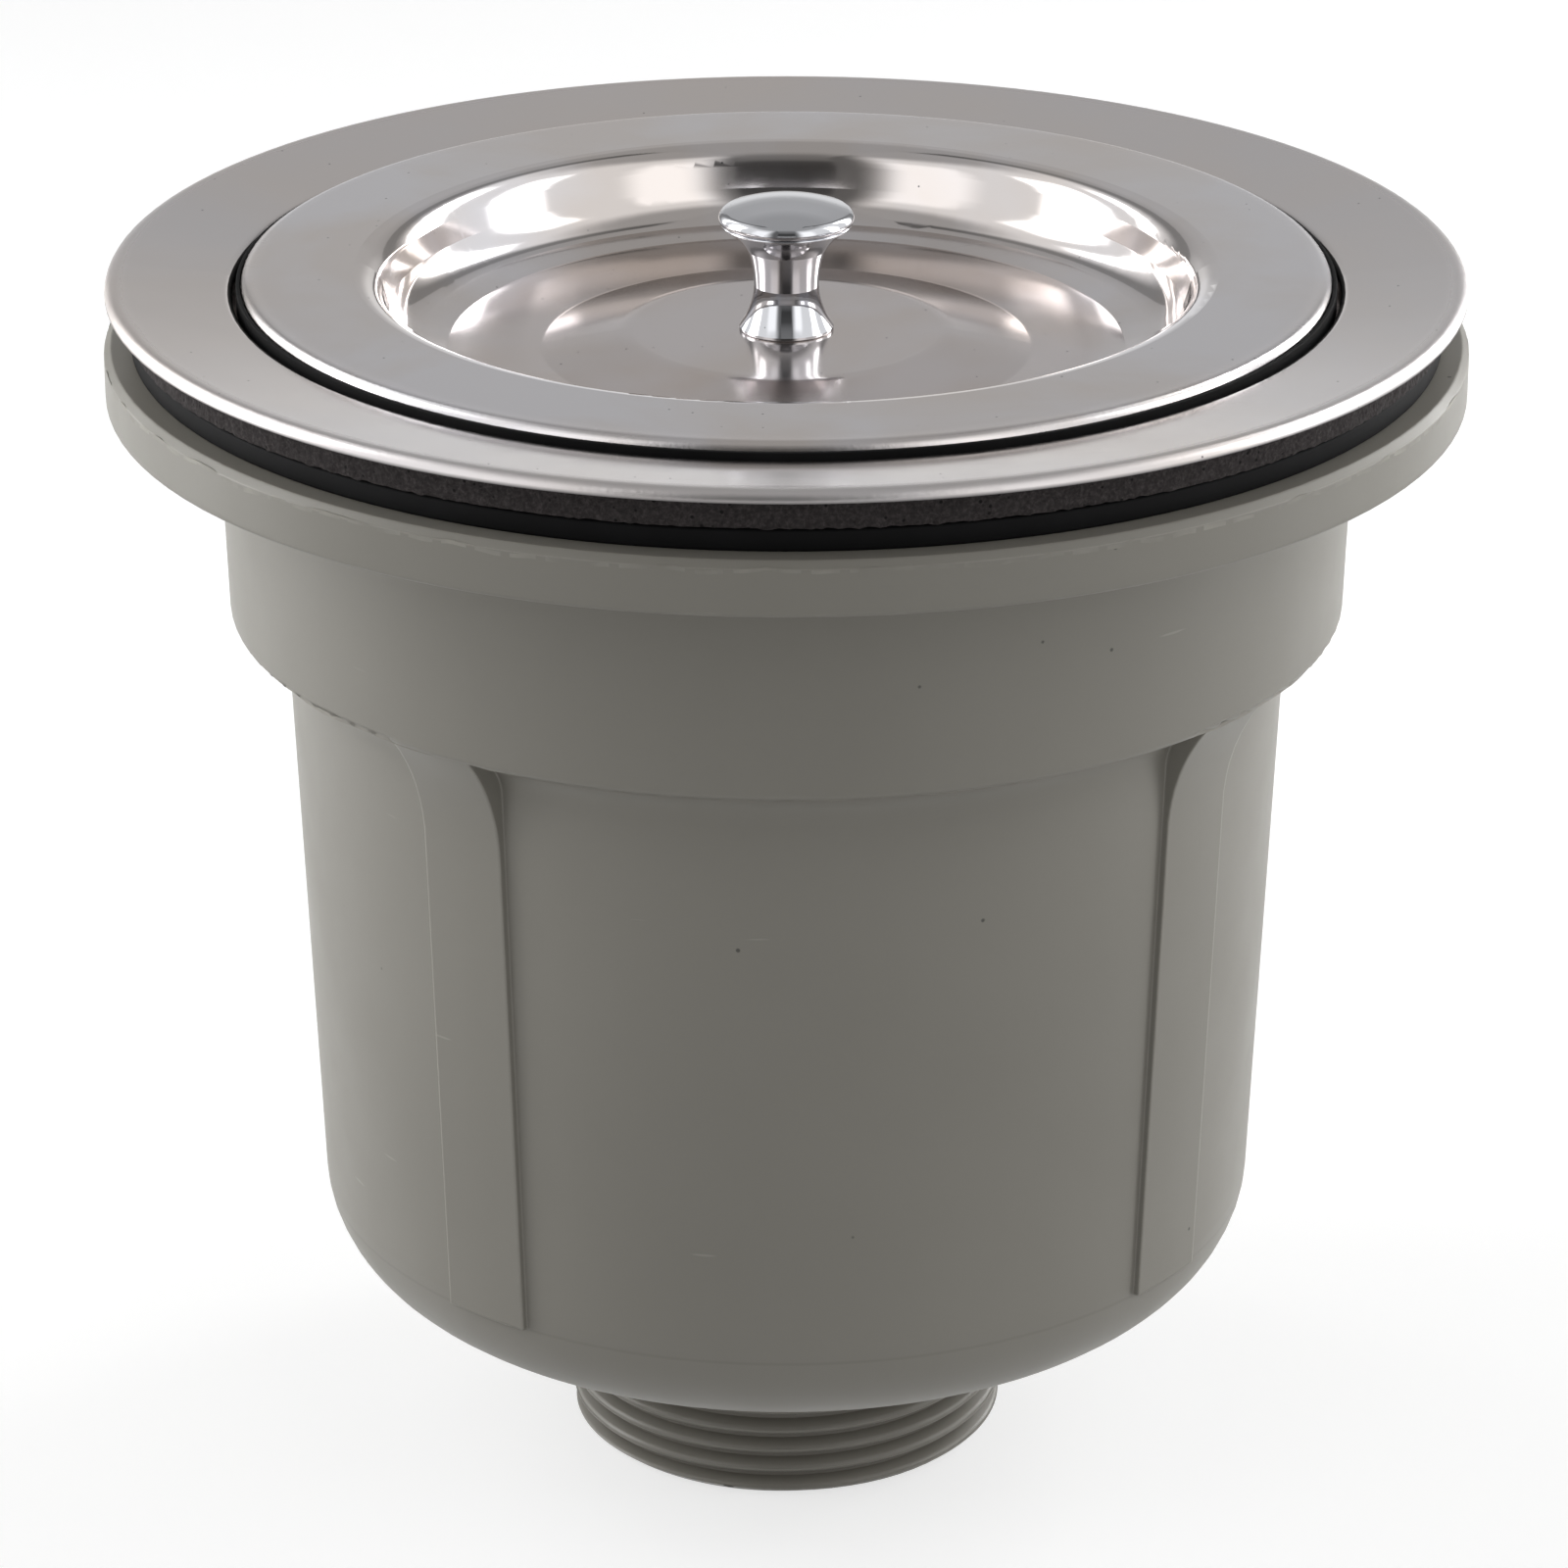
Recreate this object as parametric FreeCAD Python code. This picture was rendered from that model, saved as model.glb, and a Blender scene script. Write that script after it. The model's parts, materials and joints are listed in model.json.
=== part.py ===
import FreeCAD, Part
import math
import os

# Sink waste for a large round sink hole. A steel flange is dropped into the hole from above, and
# a moulded cup is screwed up onto its neck from below, so the sink is held between two gaskets.
# A perforated basket hangs in the flange, and a dished lid with a turned knob closes it.
# The waste stands on its spout: the origin is the centre of the spout's end and +Z is up.
# All sizes are in millimetres, and all levels are heights above the spout's end.

# Spout with a parallel pipe thread of the 1 1/2 inch size
SPOUT_LENGTH = 19.6
SPOUT_BORE_R = 20.0
PIPE_THREAD_R = 23.5
PIPE_THREAD_DEPTH = 1.35
SPOUT_INNER_ROUND = 1.5

# Moulded cup
CUP_WALL = 2.6
CUP_DRAFT_DEG = 2.3
CUP_FLOOR_ROUND = 12.0
LOWER_HEIGHT = 75.6
UPPER_HEIGHT = 23.7
UPPER_DRAFT_DEG = 1.9
SHOULDER_WIDTH = 5.7
SHOULDER_FILLET = 5.2
SHOULDER_EDGE_ROUND = 0.9
RIM_HEIGHT = 5.6
RIM_OVERHANG = 0.3
RIM_TOP_BEVEL = 0.7
RIM_EDGE_ROUND = 0.5
RIM_CORNER_FILLET = 1.0
BORE_LEAD_IN = 1.2

# Raised strips down the outside of the cup
STRIP_COUNT = 4
STRIP_FIRST_DEG = -38.0
STRIP_WIDTH = 9.9
STRIP_PROUD = 0.62
STRIP_SWEEP_R = 20.5
STRIP_FOOT_DROP = 1.6

# Pressed steel flange, and the room that the coarse thread on its neck needs in the cup
STEEL = 0.7
NECK_R = 53.0
LEDGE_WIDTH = 4.0
LEDGE_DEPTH = 4.7
BRIM_WIDTH = 13.0
BRIM_FALL = 1.5
BRIM_EDGE_DROP = 1.3
BRIM_EDGE_ROUND = 1.1
BEND_R = 1.0
NECK_END_GAP = 3.6
NECK_THREAD_DEPTH = 1.5
NECK_THREAD_PLAY = 0.45

# Gaskets that clamp the sink
RUBBER_THICKNESS = 2.25
RUBBER_INSET = 2.5
FOAM_THICKNESS = 3.8
FOAM_INSET = 2.0
GASKET_PLAY = 0.8

# Lid and the soft ring that it closes on
LID_STEEL = 0.6
LID_GAP = 0.9
LID_DROP = 0.2
LID_EDGE_ROUND = 1.1
BOWL_HANDLE_GAP = 3.1
BOWL_LIP_ROUND = 3.0
BOWL_WALL_WIDTH = 2.0
BOWL_WALL_DEPTH = 6.85
BOWL_WALL_ROUND = 4.6
BOWL_RING_WIDTH = 5.15
BOWL_RING_ROUND = 1.0
BOWL_FLOOR_DEPTH = 8.4
BOWL_FLOOR_WIDTH = 9.75
BOWL_FLOOR_FALL = 0.25
BOWL_CONE_WIDTH = 8.8
BOWL_CONE_ROUND = 1.5
BOWL_DISC_DEPTH = 6.95
BOWL_DISC_ROUND = 7.0
SEAL_THICKNESS = 1.8
SEAL_WIDTH = 5.0
SEAL_GAP = 0.5

# Knob, with its screw and washer under the lid
KNOB_BASE_R = 4.9
KNOB_FOOT_EDGE = 0.35
KNOB_FOOT_ROUND = 0.15
KNOB_FOOT_HOLLOW = 0.35
KNOB_WAIST_R = 3.36
KNOB_WAIST_HEIGHT = 4.65
KNOB_STEM_R = 4.1
KNOB_STEM_HEIGHT = 8.5
KNOB_STEM_HOLLOW = 0.15
KNOB_FLARE_R = 5.9
KNOB_FLARE_HEIGHT = 10.5
KNOB_FLARE_HOLLOW = 0.13
KNOB_BEAD_R = 6.72
KNOB_BEAD = 0.35
KNOB_RIM_R = 7.0
KNOB_RIM_HEIGHT = 11.8
KNOB_RIM_DROP = 0.45
KNOB_RIM_ROUND = 1.0
KNOB_CROWN_DEG = 20
SCREW_R = 2.0
SCREW_DEPTH = 7.0
SCREW_PLAY = 0.05
SCREW_HOLE_PLAY = 0.25
SCREW_HEAD_R = 3.8
SCREW_HEAD_HEIGHT = 2.2
SCREW_HEAD_ROUND = 1.0
SCREW_CROSS_WIDTH = 0.9
SCREW_CROSS_DEPTH = 1.1
WASHER_R = 5.5
WASHER_THICKNESS = 0.8

# Perforated basket
BASKET_STEEL = 0.6
BASKET_RIM_GAP = 1.0
BASKET_TOP_GAP = 2.0
BASKET_LOW_GAP = 2.2
BASKET_FLOOR_GAP = 16.5
BASKET_FLOOR_ROUND = 6.0
HOLE_R = 3.0
WALL_HOLE_ROWS = 4
WALL_HOLES_PER_ROW = 12
WALL_HOLE_TOP_MARGIN = 18.0
WALL_HOLE_LOW_MARGIN = 12.0
FLOOR_RING_HOLES = 6
FLOOR_HOLE_SPACING = 20.0

# Wire handle of the basket, folded down under the lid, and the two lugs that carry it
WIRE_R = 1.0
HANDLE_INSET = 3.4
HANDLE_BEND_R = 2.4
HANDLE_LIFT = 0.1
HANDLE_END = 0.3
LUG_WIDTH = 8.0
LUG_THICKNESS = 0.8
LUG_LENGTH = 8.0
LUG_NECK_DROP = 3.0
EYE_PLAY = 0.1
EYE_WALL = 0.8

# Levels, from the spout's end upwards
CUP_Z = SPOUT_LENGTH
CUP_FLOOR_Z = CUP_Z + CUP_WALL
SHOULDER_Z = CUP_Z + LOWER_HEIGHT
BORE_END_Z = SHOULDER_Z + CUP_WALL
RIM_Z = SHOULDER_Z + UPPER_HEIGHT
SEAT_Z = RIM_Z + RIM_HEIGHT
FOAM_Z = SEAT_Z + RUBBER_THICKNESS
BRIM_SLOPE = BRIM_FALL / BRIM_WIDTH
BRIM_RISE = STEEL * math.hypot(1, BRIM_SLOPE)
BRIM_Z = FOAM_Z + FOAM_THICKNESS + BRIM_RISE + FOAM_INSET * BRIM_SLOPE
LEDGE_Z = BRIM_Z - LEDGE_DEPTH
NECK_END_Z = BORE_END_Z + NECK_END_GAP
BASKET_RIM_Z = LEDGE_Z + BASKET_STEEL
SEAL_Z = BASKET_RIM_Z + SEAL_THICKNESS
LID_Z = BRIM_Z - LID_DROP
BOWL_Z = LID_Z - BOWL_FLOOR_DEPTH
KNOB_Z = LID_Z - BOWL_DISC_DEPTH
WASHER_Z = KNOB_Z - LID_STEEL - WASHER_THICKNESS
BASKET_FLOOR_Z = CUP_FLOOR_Z + BASKET_FLOOR_GAP + BASKET_STEEL
EYE_Z = BASKET_RIM_Z + WIRE_R + HANDLE_LIFT

# Radii, from the flange's neck outwards and inwards
NECK_OUTER_R = NECK_R + STEEL
BORE_R = NECK_OUTER_R + NECK_THREAD_DEPTH + NECK_THREAD_PLAY
CUP_INNER_R = BORE_R - SHOULDER_WIDTH
UPPER_R = BORE_R + CUP_WALL
RECESS_R = NECK_R + LEDGE_WIDTH
FLANGE_R = RECESS_R + BRIM_WIDTH
RIM_R = FLANGE_R + RIM_OVERHANG
FOAM_R = FLANGE_R - FOAM_INSET
GASKET_BORE_R = RECESS_R + STEEL + GASKET_PLAY
LID_R = RECESS_R - LID_GAP
SEAL_R = RECESS_R - SEAL_GAP
BASKET_R = NECK_R - BASKET_TOP_GAP - BASKET_STEEL
HANDLE_R = BASKET_R - HANDLE_INSET
BOWL_MOUTH_R = HANDLE_R - WIRE_R - BOWL_HANDLE_GAP - LID_STEEL
SPOUT_ROOT_R = PIPE_THREAD_R - PIPE_THREAD_DEPTH

AXIS = FreeCAD.Vector(0, 0, 1)
ORIGIN = FreeCAD.Vector(0, 0, 0)
FULL_TURN = 360
HALF_TURN = 180
SAME_POINT = 1e-6


def at(r, z):
    """A point of a section, at radius r and height z."""
    return FreeCAD.Vector(r, 0, z)


def rounded_section(corners):
    """A closed section through corners (r, z, radius), with an arc at each corner that has a radius."""
    points = [at(r, z) for r, z, radius in corners]
    count = len(points)
    arcs = []
    ends = []
    for i, (r, z, radius) in enumerate(corners):
        if radius == 0:
            arcs.append(None)
            ends.append((points[i], points[i]))
            continue
        back = (points[i - 1] - points[i]).normalize()
        ahead = (points[(i + 1) % count] - points[i]).normalize()
        half = back.getAngle(ahead) / 2
        reach = radius / math.tan(half)
        inward = (back + ahead).normalize()
        first = points[i] + back * reach
        middle = points[i] + inward * (radius / math.sin(half) - radius)
        last = points[i] + ahead * reach
        arcs.append(Part.Arc(first, middle, last).toShape())
        ends.append((first, last))
    edges = []
    for i in range(count):
        if arcs[i]:
            edges.append(arcs[i])
        start = ends[i][1]
        end = ends[(i + 1) % count][0]
        if (end - start).Length > SAME_POINT:
            edges.append(Part.LineSegment(start, end).toShape())
    return Part.Face(Part.Wire(edges))


def spun(section):
    """A solid of revolution about Z from a section, in two half turns, so no face closes on itself."""
    right = section.revolve(ORIGIN, AXIS, HALF_TURN)
    left = right.copy()
    left.rotate(ORIGIN, AXIS, HALF_TURN)
    return right.fuse(left).Solids[0]


def turned(corners):
    """A solid of revolution about Z, from the closed section through the corners."""
    return spun(rounded_section(corners))


def pressed(corners, thickness):
    """A turned sheet of even thickness, from the corners of its upper face, rim first."""
    points = [at(r, z) for r, z, radius in corners]
    runs = [(end - start).normalize() for start, end in zip(points, points[1:])]
    lower = []
    for i, (r, z, radius) in enumerate(corners):
        before = runs[max(i - 1, 0)]
        after = runs[min(i, len(runs) - 1)]
        side = at(-before.z, before.x)
        next_side = at(-after.z, after.x)
        shift = (side + next_side) * (thickness / (1 + side.dot(next_side)))
        turn = before.x * after.z - before.z * after.x
        lower_radius = radius - math.copysign(thickness, turn)
        point = points[i] + shift
        lower.append((point.x, point.z, max(lower_radius, 0) if radius else 0))
    return turned(corners + lower[::-1])


def cup_outer_r(z):
    """Outside radius of the cup's tapered lower wall."""
    return CUP_INNER_R + CUP_WALL - (SHOULDER_Z - z) * math.tan(math.radians(CUP_DRAFT_DEG))


def brim_under_z(r):
    """Height of the brim's lower face, which falls towards the lid."""
    return BRIM_Z - (FLANGE_R - r) * BRIM_SLOPE - BRIM_RISE


def basket_low_r():
    """Radius of the corner between the basket's wall and floor, inside."""
    return cup_outer_r(BASKET_FLOOR_Z) - CUP_WALL - BASKET_LOW_GAP - BASKET_STEEL


def basket_inner_r(z):
    """Inside radius of the basket's tapered wall."""
    share = (BASKET_RIM_Z - z) / (BASKET_RIM_Z - BASKET_FLOOR_Z)
    return BASKET_R + share * (basket_low_r() - BASKET_R)


def cup_blank():
    """The moulded cup without its strips."""
    mouth_r = UPPER_R + UPPER_HEIGHT * math.tan(math.radians(UPPER_DRAFT_DEG))
    return turned([
        (SPOUT_BORE_R, 0, 0),
        (SPOUT_ROOT_R, 0, 0),
        (SPOUT_ROOT_R, CUP_Z, 0),
        (cup_outer_r(CUP_Z), CUP_Z, CUP_FLOOR_ROUND),
        (cup_outer_r(SHOULDER_Z), SHOULDER_Z, SHOULDER_FILLET),
        (UPPER_R, SHOULDER_Z, SHOULDER_EDGE_ROUND),
        (mouth_r, RIM_Z, RIM_CORNER_FILLET),
        (RIM_R, RIM_Z, RIM_EDGE_ROUND),
        (RIM_R, SEAT_Z - RIM_TOP_BEVEL, 0),
        (RIM_R - RIM_TOP_BEVEL, SEAT_Z, 0),
        (BORE_R + BORE_LEAD_IN, SEAT_Z, 0),
        (BORE_R, SEAT_Z - BORE_LEAD_IN, 0),
        (BORE_R, BORE_END_Z, SHOULDER_EDGE_ROUND),
        (cup_outer_r(BORE_END_Z) - CUP_WALL, BORE_END_Z, SHOULDER_FILLET - CUP_WALL),
        (cup_outer_r(CUP_FLOOR_Z) - CUP_WALL, CUP_FLOOR_Z, CUP_FLOOR_ROUND - CUP_WALL),
        (SPOUT_BORE_R, CUP_FLOOR_Z, SPOUT_INNER_ROUND),
    ])


def cup_strips():
    """Raised strips from the shoulder's edge, in a long sweep, down to the mould line."""
    foot_z = CUP_Z + CUP_FLOOR_ROUND - STRIP_FOOT_DROP
    crease_r = UPPER_R - SHOULDER_EDGE_ROUND
    tangent_r = cup_outer_r(SHOULDER_Z - STRIP_SWEEP_R / 2) + STRIP_PROUD
    turn = math.acos(1 - (crease_r - tangent_r) / STRIP_SWEEP_R)
    tangent_z = SHOULDER_Z - STRIP_SWEEP_R * math.sin(turn)
    middle_r = tangent_r + STRIP_SWEEP_R * (1 - math.cos(turn / 2))
    middle_z = tangent_z + STRIP_SWEEP_R * math.sin(turn / 2)
    foot = at(cup_outer_r(foot_z) + STRIP_PROUD, foot_z)
    tangent = at(tangent_r, tangent_z)
    crease = at(crease_r, SHOULDER_Z)
    top = at(cup_outer_r(SHOULDER_Z) - CUP_WALL / 2, SHOULDER_Z)
    low = at(cup_outer_r(foot_z) - CUP_WALL / 2, foot_z)
    section = Part.Face(Part.Wire([
        Part.LineSegment(low, foot).toShape(),
        Part.LineSegment(foot, tangent).toShape(),
        Part.Arc(tangent, at(middle_r, middle_z), crease).toShape(),
        Part.LineSegment(crease, top).toShape(),
        Part.LineSegment(top, low).toShape(),
    ]))
    ring = spun(section)
    strips = []
    for i in range(STRIP_COUNT):
        slab = Part.makeBox(RIM_R, STRIP_WIDTH, SHOULDER_Z, FreeCAD.Vector(0, -STRIP_WIDTH / 2, 0))
        slab.rotate(ORIGIN, AXIS, STRIP_FIRST_DEG + i * FULL_TURN / STRIP_COUNT)
        strips.append(ring.common(slab))
    return strips


def body():
    """One moulded piece: cup, rim, strips and spout."""
    return cup_blank().fuse(cup_strips()).Solids[0]


def flange():
    """Pressed sheet: brim, recess, ledge and neck."""
    return pressed([
        (FLANGE_R, BRIM_Z - BRIM_EDGE_DROP, 0),
        (FLANGE_R, BRIM_Z, BRIM_EDGE_ROUND),
        (RECESS_R, BRIM_Z - BRIM_FALL, BEND_R),
        (RECESS_R, LEDGE_Z, BEND_R),
        (NECK_R, LEDGE_Z, BEND_R),
        (NECK_R, NECK_END_Z, 0),
    ], STEEL)


def foam_gasket():
    """Foam ring under the brim, which follows the brim's fall."""
    return turned([
        (GASKET_BORE_R, FOAM_Z, 0),
        (FOAM_R, FOAM_Z, 0),
        (FOAM_R, brim_under_z(FOAM_R), 0),
        (GASKET_BORE_R, brim_under_z(GASKET_BORE_R), 0),
    ])


def rubber_gasket():
    """Rubber ring on the cup's rim."""
    outer_r = FLANGE_R - RUBBER_INSET
    return turned([
        (GASKET_BORE_R, SEAT_Z, 0),
        (outer_r, SEAT_Z, 0),
        (outer_r, FOAM_Z, 0),
        (GASKET_BORE_R, FOAM_Z, 0),
    ])


def lid():
    """Pressed lid: turned-down edge, steep wall, sloping ring, floor, and a cone up to a flat disc."""
    wall_foot_r = BOWL_MOUTH_R - BOWL_WALL_WIDTH
    floor_r = wall_foot_r - BOWL_RING_WIDTH
    cone_r = floor_r - BOWL_FLOOR_WIDTH
    disc_r = cone_r - BOWL_CONE_WIDTH
    return pressed([
        (LID_R, SEAL_Z, 0),
        (LID_R, LID_Z, LID_EDGE_ROUND),
        (BOWL_MOUTH_R, LID_Z, BOWL_LIP_ROUND),
        (wall_foot_r, LID_Z - BOWL_WALL_DEPTH, BOWL_WALL_ROUND),
        (floor_r, BOWL_Z, BOWL_RING_ROUND),
        (cone_r, BOWL_Z - BOWL_FLOOR_FALL, BOWL_CONE_ROUND),
        (disc_r, KNOB_Z, BOWL_DISC_ROUND),
        (SCREW_R + SCREW_HOLE_PLAY, KNOB_Z, 0),
    ], LID_STEEL)


def lid_seal_ring():
    """Soft ring that lies on the basket's rim, under the lid's edge."""
    return turned([
        (SEAL_R - SEAL_WIDTH, BASKET_RIM_Z, 0),
        (SEAL_R, BASKET_RIM_Z, 0),
        (SEAL_R, SEAL_Z, 0),
        (SEAL_R - SEAL_WIDTH, SEAL_Z, 0),
    ])


def hollow_arc(start, end, hollow):
    """An arc between two points of a section, end above start, which curves in towards the axis."""
    along = (end - start).normalize()
    middle = (start + end) * 0.5 + at(-along.z, along.x) * hollow
    return Part.Arc(start, middle, end).toShape()


def on_circle(r, z, radius, degrees):
    """The point of a section on the circle about (r, z), at an angle above the horizontal."""
    turn = math.radians(degrees)
    return at(r + radius * math.cos(turn), z + radius * math.sin(turn))


def knob():
    """Turned knob: flared foot and stem that meet in a crease, a thin bead, and a domed head with a round rim."""
    base = at(KNOB_BASE_R - KNOB_FOOT_ROUND, KNOB_Z)
    base_round = on_circle(KNOB_BASE_R - KNOB_FOOT_ROUND, KNOB_Z + KNOB_FOOT_ROUND, KNOB_FOOT_ROUND, -45)
    base_edge = at(KNOB_BASE_R, KNOB_Z + KNOB_FOOT_ROUND)
    foot = at(KNOB_BASE_R, KNOB_Z + KNOB_FOOT_EDGE)
    waist = at(KNOB_WAIST_R, KNOB_Z + KNOB_WAIST_HEIGHT)
    stem = at(KNOB_STEM_R, KNOB_Z + KNOB_STEM_HEIGHT)
    flare = at(KNOB_FLARE_R, KNOB_Z + KNOB_FLARE_HEIGHT)
    rim_z = KNOB_Z + KNOB_RIM_HEIGHT
    groove = at(KNOB_RIM_R - KNOB_RIM_DROP, rim_z - KNOB_RIM_DROP)
    bead_low = at(groove.x, groove.z - KNOB_BEAD)
    bead_middle = at(KNOB_BEAD_R, groove.z - KNOB_BEAD / 2)
    rim_low = on_circle(groove.x, rim_z, KNOB_RIM_DROP, -45)
    rim = at(KNOB_RIM_R, rim_z)
    crown_turn = math.radians(KNOB_CROWN_DEG)
    rim_middle = on_circle(KNOB_RIM_R - KNOB_RIM_ROUND, rim_z, KNOB_RIM_ROUND, 45 - KNOB_CROWN_DEG / 2)
    crown_edge = on_circle(KNOB_RIM_R - KNOB_RIM_ROUND, rim_z, KNOB_RIM_ROUND, 90 - KNOB_CROWN_DEG)
    crown_r = crown_edge.x / math.sin(crown_turn)
    crown_z = crown_edge.z - crown_r * math.cos(crown_turn)
    crown_middle = on_circle(0, crown_z, crown_r, 90 - KNOB_CROWN_DEG / 2)
    crown = at(0, crown_z + crown_r)
    hole_r = SCREW_R + SCREW_PLAY
    hole_top = KNOB_Z + SCREW_DEPTH + SCREW_PLAY
    section = Part.Face(Part.Wire([
        Part.LineSegment(at(hole_r, KNOB_Z), base).toShape(),
        Part.Arc(base, base_round, base_edge).toShape(),
        Part.LineSegment(base_edge, foot).toShape(),
        hollow_arc(foot, waist, KNOB_FOOT_HOLLOW),
        hollow_arc(waist, stem, KNOB_STEM_HOLLOW),
        hollow_arc(stem, flare, KNOB_FLARE_HOLLOW),
        Part.LineSegment(flare, bead_low).toShape(),
        Part.Arc(bead_low, bead_middle, groove).toShape(),
        Part.Arc(groove, rim_low, rim).toShape(),
        Part.Arc(rim, rim_middle, crown_edge).toShape(),
        Part.Arc(crown_edge, crown_middle, crown).toShape(),
        Part.LineSegment(crown, at(0, hole_top)).toShape(),
        Part.LineSegment(at(0, hole_top), at(hole_r, hole_top)).toShape(),
        Part.LineSegment(at(hole_r, hole_top), at(hole_r, KNOB_Z)).toShape(),
    ]))
    return spun(section)


def knob_screw():
    """Pan-head screw from below the lid up into the knob, with a cross recess in its head."""
    head_z = WASHER_Z - SCREW_HEAD_HEIGHT
    screw = turned([
        (0, head_z, 0),
        (SCREW_HEAD_R, head_z, SCREW_HEAD_ROUND),
        (SCREW_HEAD_R, WASHER_Z, 0),
        (SCREW_R, WASHER_Z, 0),
        (SCREW_R, KNOB_Z + SCREW_DEPTH, 0),
        (0, KNOB_Z + SCREW_DEPTH, 0),
    ])
    length = SCREW_HEAD_R
    width = SCREW_CROSS_WIDTH
    depth = SCREW_CROSS_DEPTH
    across = Part.makeBox(length, width, depth, FreeCAD.Vector(-length / 2, -width / 2, head_z))
    along = Part.makeBox(width, length, depth, FreeCAD.Vector(-width / 2, -length / 2, head_z))
    return screw.cut(across.fuse(along))


def knob_washer():
    """Flat washer between the screw's head and the lid."""
    hole_r = SCREW_R + SCREW_HOLE_PLAY
    top_z = WASHER_Z + WASHER_THICKNESS
    return turned([
        (hole_r, WASHER_Z, 0),
        (WASHER_R, WASHER_Z, 0),
        (WASHER_R, top_z, 0),
        (hole_r, top_z, 0),
    ])


def basket():
    """Deep basket with a flat rim that lies on the flange's ledge, round holes all over."""
    sheet = pressed([
        (RECESS_R - BASKET_RIM_GAP, BASKET_RIM_Z, 0),
        (BASKET_R, BASKET_RIM_Z, BEND_R),
        (basket_low_r(), BASKET_FLOOR_Z, BASKET_FLOOR_ROUND),
        (0, BASKET_FLOOR_Z, 0),
    ], BASKET_STEEL)
    drills = []
    low_z = BASKET_FLOOR_Z + WALL_HOLE_LOW_MARGIN
    high_z = BASKET_RIM_Z - WALL_HOLE_TOP_MARGIN
    reach = basket_low_r() / 2
    for row in range(WALL_HOLE_ROWS):
        z = low_z + (high_z - low_z) * row / (WALL_HOLE_ROWS - 1)
        for i in range(WALL_HOLES_PER_ROW):
            angle = 2 * math.pi * (i + row % 2 / 2) / WALL_HOLES_PER_ROW
            outward = FreeCAD.Vector(math.cos(angle), math.sin(angle), 0)
            drills.append(Part.makeCylinder(HOLE_R, BASKET_R, outward * reach + at(0, z), outward))
    under = at(0, BASKET_FLOOR_Z - BASKET_FLOOR_ROUND)
    drills.append(Part.makeCylinder(HOLE_R, 2 * BASKET_FLOOR_ROUND, under, AXIS))
    for i in range(FLOOR_RING_HOLES):
        angle = 2 * math.pi * i / FLOOR_RING_HOLES
        outward = FreeCAD.Vector(math.cos(angle), math.sin(angle), 0)
        spot = under + outward * FLOOR_HOLE_SPACING
        drills.append(Part.makeCylinder(HOLE_R, 2 * BASKET_FLOOR_ROUND, spot, AXIS))
    return sheet.cut(drills)


def basket_handle():
    """Half ring of wire, its ends turned outwards through the eyes of the lugs."""
    bend_x = math.sqrt((HANDLE_R + HANDLE_BEND_R) ** 2 - HANDLE_BEND_R ** 2)
    joint_angle = math.asin(HANDLE_BEND_R / (HANDLE_R + HANDLE_BEND_R))
    joint = FreeCAD.Vector(math.cos(joint_angle), math.sin(joint_angle), 0) * HANDLE_R
    joint.z = EYE_Z
    bend_centre = FreeCAD.Vector(bend_x, HANDLE_BEND_R, EYE_Z)
    towards = (FreeCAD.Vector(bend_x, 0, EYE_Z) - bend_centre) + (joint - bend_centre)
    bend_middle = bend_centre + towards.normalize() * HANDLE_BEND_R
    right = FreeCAD.Vector(basket_inner_r(EYE_Z) + HANDLE_END, 0, EYE_Z)
    bend_start = FreeCAD.Vector(bend_x, 0, EYE_Z)

    def mirrored(point):
        return FreeCAD.Vector(-point.x, point.y, point.z)

    path = Part.Wire([
        Part.LineSegment(right, bend_start).toShape(),
        Part.Arc(bend_start, bend_middle, joint).toShape(),
        Part.Arc(joint, FreeCAD.Vector(0, HANDLE_R, EYE_Z), mirrored(joint)).toShape(),
        Part.Arc(mirrored(joint), mirrored(bend_middle), mirrored(bend_start)).toShape(),
        Part.LineSegment(mirrored(bend_start), mirrored(right)).toShape(),
    ])
    section = Part.Wire(Part.makeCircle(WIRE_R, right, FreeCAD.Vector(1, 0, 0)))
    return path.makePipeShell([section], True, True)


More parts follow.
